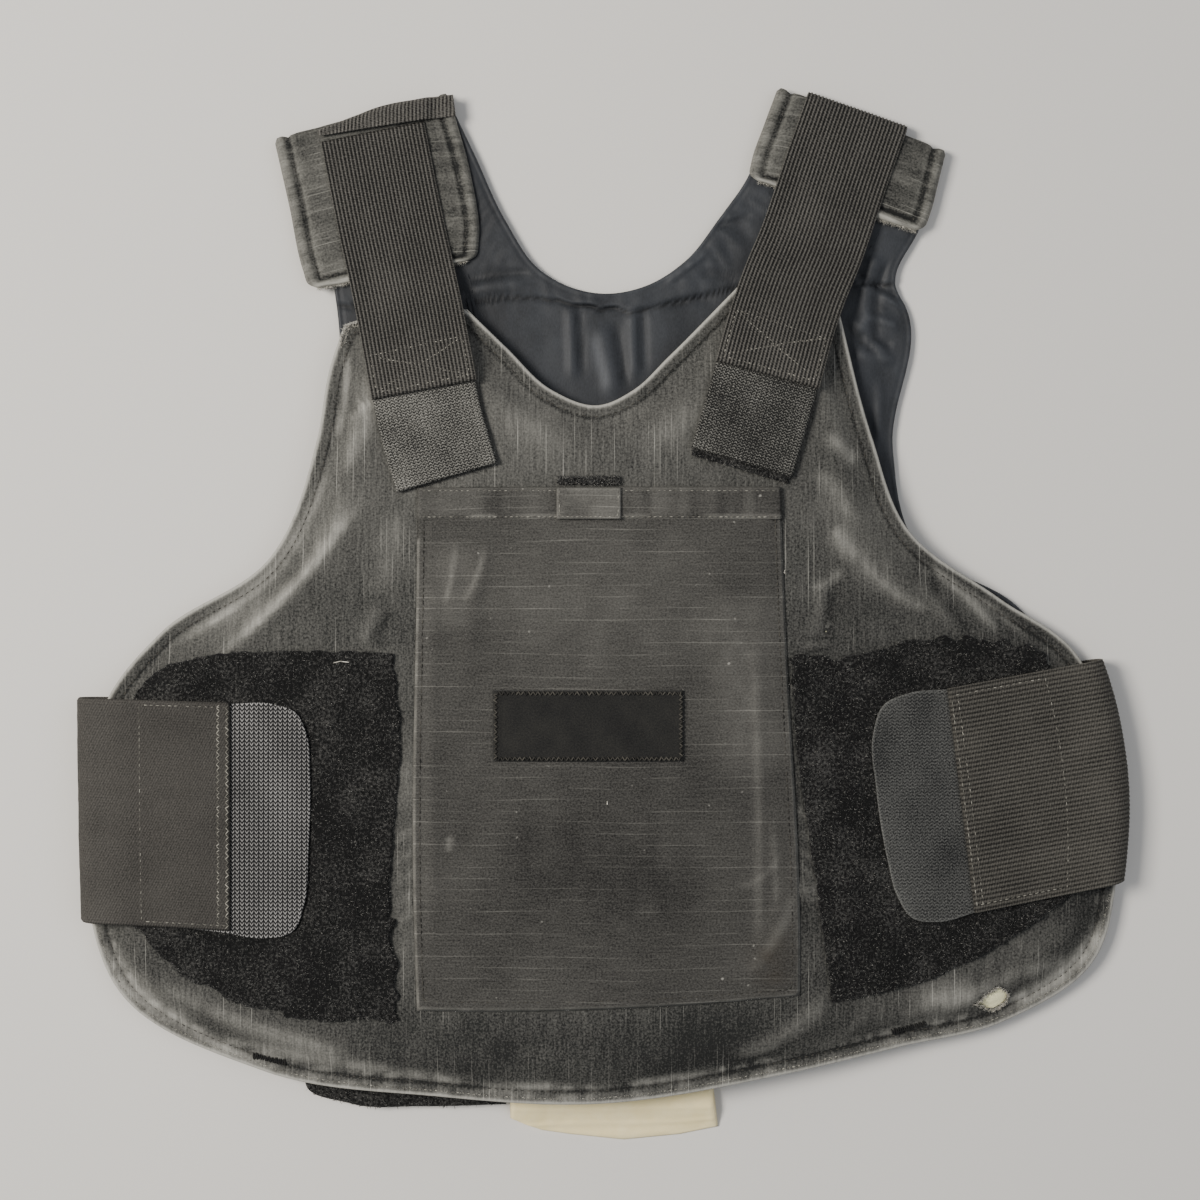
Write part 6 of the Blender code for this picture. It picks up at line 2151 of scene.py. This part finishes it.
def flap_seam(middle, inset=6.6):
    """A line round a flap at an even inset from its sides and free end."""
    share = inset / np.linalg.norm(middle[:, -1] - middle[:, 0], axis=1)
    flat, share = middle[6:-9], share[6:-9, None]
    left = flat[:, 0] * (1 - share) + flat[:, -1] * share
    right = flat[:, -1] * (1 - share) + flat[:, 0] * share
    cut = int(flat.shape[1] * share[0, 0]) + 1
    line = np.vstack([left[::-1], flat[0, cut:-cut], right])
    line[:, 2] = FLAP_TOP - 0.75
    return line


print("shoulder lines:", len(shoulder_lines))

# %% All the seams
Seam = namedtuple("Seam", "name slot paths pitch length girth thread slant seed", defaults=(0.0, 1))
CARRIER, POCKET, ELASTIC = "faded_carrier_cloth", "pocket_ripstop", "elastic_webbing"
zigzag_lines = [across_strap(left_middle, share, 2) for share in (0.012, 0.045)]
flap_lines = [flap_seam(left_flap), flap_seam(right_flap)]
for seam in (
    Seam("front_hem_stitches", CARRIER, hem_paths[1:], 3.1, 2.3, 0.24, dark_thread),
    Seam("front_hem_pale_stitches", CARRIER, [low_hem], 2.6, 1.5, 0.24, grey_thread, seed=23),
    Seam("bar_tacks", CARRIER, tack_lines, 1.0, 3.6, 0.36, black_thread, slant=1.45, seed=17),
    Seam("pocket_stitches", POCKET, [pocket_path], 3.0, 2.2, 0.22, dark_thread, seed=3),
    Seam("pocket_hem_stitches", POCKET, hem_lines, 2.6, 1.7, 0.2, grey_thread, seed=4),
    Seam("patch_edging", "badge_cloth", [patch_path], 1.15, 2.6, 0.34, dark_thread, slant=0.95, seed=5),
    Seam("tab_stitches", POCKET, [tab_path], 2.2, 1.6, 0.2, grey_thread, seed=7),
    Seam("side_strap_left_zigzag", ELASTIC, zigzag_lines, 1.5, 2.4, 0.27, grey_thread, slant=0.8, seed=9),
    Seam("side_strap_stitches", ELASTIC, side_lines, 3.0, 1.9, 0.2, grey_thread, seed=11),
    Seam("shoulder_strap_stitches", ELASTIC, shoulder_lines, 2.4, 1.3, 0.24, grey_thread, seed=13),
    Seam("flap_stitches", CARRIER, flap_lines, 2.8, 2.0, 0.22, dark_thread, seed=15),
):
    sewn = (seam.paths, seam.pitch, seam.length, seam.girth, seam.thread, seam.slant, seam.seed)
    dress(stitched(seam.name, *sewn), seam.slot)

# %% [markdown]
# ## Frayed threads
# Wear leaves loose ends: a halo of pale threads round the tear, fuzz along the hem, and tufts at a
# shoulder's corner and the flaps' free ends. They are the fibre shape again, longer and paler. A few
# pieces of lint lie on the pile and the pocket.


# %% Loose threads
def loose_threads(name, spots, outward, count, length, girth, material, seed):
    """Bent threads at random places of a list of spots, leaning outward with some scatter."""
    rng = np.random.default_rng(seed)
    pick = rng.integers(0, len(spots), count)
    lean = outward[pick] + rng.normal(0, 0.8, (count, 3)) * [1, 1, 0.35]
    lean[:, 2] = np.abs(lean[:, 2]) * 0.4 + 0.05
    lean /= np.linalg.norm(lean, axis=1)[:, None]
    scale = np.column_stack([rng.uniform(0.4, 1.0, count) * length, *[np.full(count, girth)] * 2])
    centre = spots[pick] + rng.normal(0, 0.25, (count, 3)) * [1, 1, 0.2]
    return copies(name, spike(), centre, lean, scale, material, rng.uniform(0, 1, count))


tear_centre = ragged.mean(axis=0)
tear_depth = distance_to(ragged, FRONT_COARSE)
tear_rim = np.column_stack([ragged, front_top(ragged[:, 0], ragged[:, 1], tear_depth)])
tear_out = np.column_stack([ragged - tear_centre, np.zeros(len(ragged))])
tear_out /= np.linalg.norm(tear_out, axis=1)[:, None]
fray = loose_threads("tear_fray", tear_rim, tear_out * 0.25, 460, 2.2, 0.13, pale_thread, 261)
dress(fray, "faded_carrier_cloth")
edge_spots = hem_paths[0][:-1]
edge_out = edge_spots - np.append(front_pole, 0)
edge_out[:, 2] = 0
edge_out /= np.linalg.norm(edge_out, axis=1)[:, None]
low_edge = edge_spots[:, 1] < -120
hem_fuzz = loose_threads(
    "hem_fuzz", edge_spots[low_edge], edge_out[low_edge], 900, 1.1, 0.07, pale_thread, 263
)
dress(hem_fuzz, "faded_carrier_cloth")

shoulder_corner = np.linalg.norm(edge_spots[:, :2] - (-124, 138), axis=1) < 9
frays = [("shoulder_corner_fray", edge_spots[shoulder_corner], edge_out[shoulder_corner], 300, 3.6, 265)]
for side, end, lean, seed in (("left", left_flap[0], 0.2, 267), ("right", right_flap[0], -0.2, 269)):
    out = np.tile([lean, -1.0, 0.0], (len(end), 1))
    frays.append((f"{side}_flap_fray", end + [0, 0, 0.6], out, 620, 2.2, seed))
for name, spots, out, count, length, seed in frays:
    dress(loose_threads(name, spots, out, count, length, 0.10, pale_thread, seed), "faded_carrier_cloth")
bits = [
    on_surface(
        np.array([(-127.9, -22.7), (-123.9, -22.0), (-119.8, -22.6)]), lambda x, y: field_top(x, y, 0), 0.2
    ),
    on_surface(np.array([(85.8, 19.6), (85.6, 20.4), (85.8, 21.2)]), on_front(hem_lift), 0.2),
    on_surface(np.array([(1.9, -89.0), (2.0, -88.4), (1.9, -87.8)]), on_front(hem_lift), 0.4),
]
lint = stitched("loose_lint", bits[:1], 4.1, 4.4, 0.2, pale_thread, seed=19)
dress(lint, "loop_pile")
specks = stitched("pocket_lint", bits[1:], 0.8, 1.2, 0.2, pale_thread, seed=21)
dress(specks, "pocket_ripstop")

# %% [markdown]
# ## Floor, light and camera
# The vest was seen from straight above, at about a metre. The floor is plain and pale. A large soft
# light from the upper left gives the folds their shade, and the sky fills the rest.

# %% Floor
floor_mesh = bpy.data.meshes.new("floor")
floor_mesh.from_pydata([(-4, -4, 0), (4, -4, 0), (4, 4, 0), (-4, 4, 0)], [], [(0, 1, 2, 3)])
floor = bpy.data.objects.new("floor", floor_mesh)
bpy.context.scene.collection.objects.link(floor)
floor_paint = bpy.data.materials.new("matt_painted_board")
floor_paint.use_nodes = True
floor_shader = floor_paint.node_tree.nodes["Principled BSDF"]
floor_shader.inputs["Base Color"].default_value = linear("#dedbd5")
floor_shader.inputs["Roughness"].default_value = 0.9
floor_mesh.materials.append(floor_paint)

# %% Light and camera
world = bpy.context.scene.world or bpy.data.worlds.new("studio")
bpy.context.scene.world = world
world.use_nodes = True
world.node_tree.nodes["Background"].inputs["Color"].default_value = linear("#e9edf2")
world.node_tree.nodes["Background"].inputs["Strength"].default_value = 0.40


def soft_light(name, place, size, watts, colour):
    """A square area light that looks at the vest's middle."""
    data = bpy.data.lights.new(name, "AREA")
    data.size, data.energy, data.color = size, watts, linear(colour)[:3]
    made = bpy.data.objects.new(name, data)
    made.location = place
    direction = -made.location.normalized()
    made.rotation_euler = direction.to_track_quat("-Z", "Y").to_euler()
    bpy.context.scene.collection.objects.link(made)


soft_light("key", (-1.25, 0.3, 1.6), 0.7, 52, "#fffaf3")
soft_light("fill", (1.2, 0.2, 1.9), 1.6, 9, "#f4f6ff")
CAMERA_HEIGHT = 1.0
PICTURE_WIDTH = 0.58164
SENSOR_WIDTH = 36.0
camera_data = bpy.data.cameras.new("camera")
camera_data.sensor_width = SENSOR_WIDTH
camera_data.lens = SENSOR_WIDTH * CAMERA_HEIGHT / PICTURE_WIDTH
camera = bpy.data.objects.new("camera", camera_data)
camera.location = (-0.0015, 0.007, CAMERA_HEIGHT)
bpy.context.scene.collection.objects.link(camera)
bpy.context.scene.camera = camera
print("camera lens, mm:", round(camera_data.lens, 2))
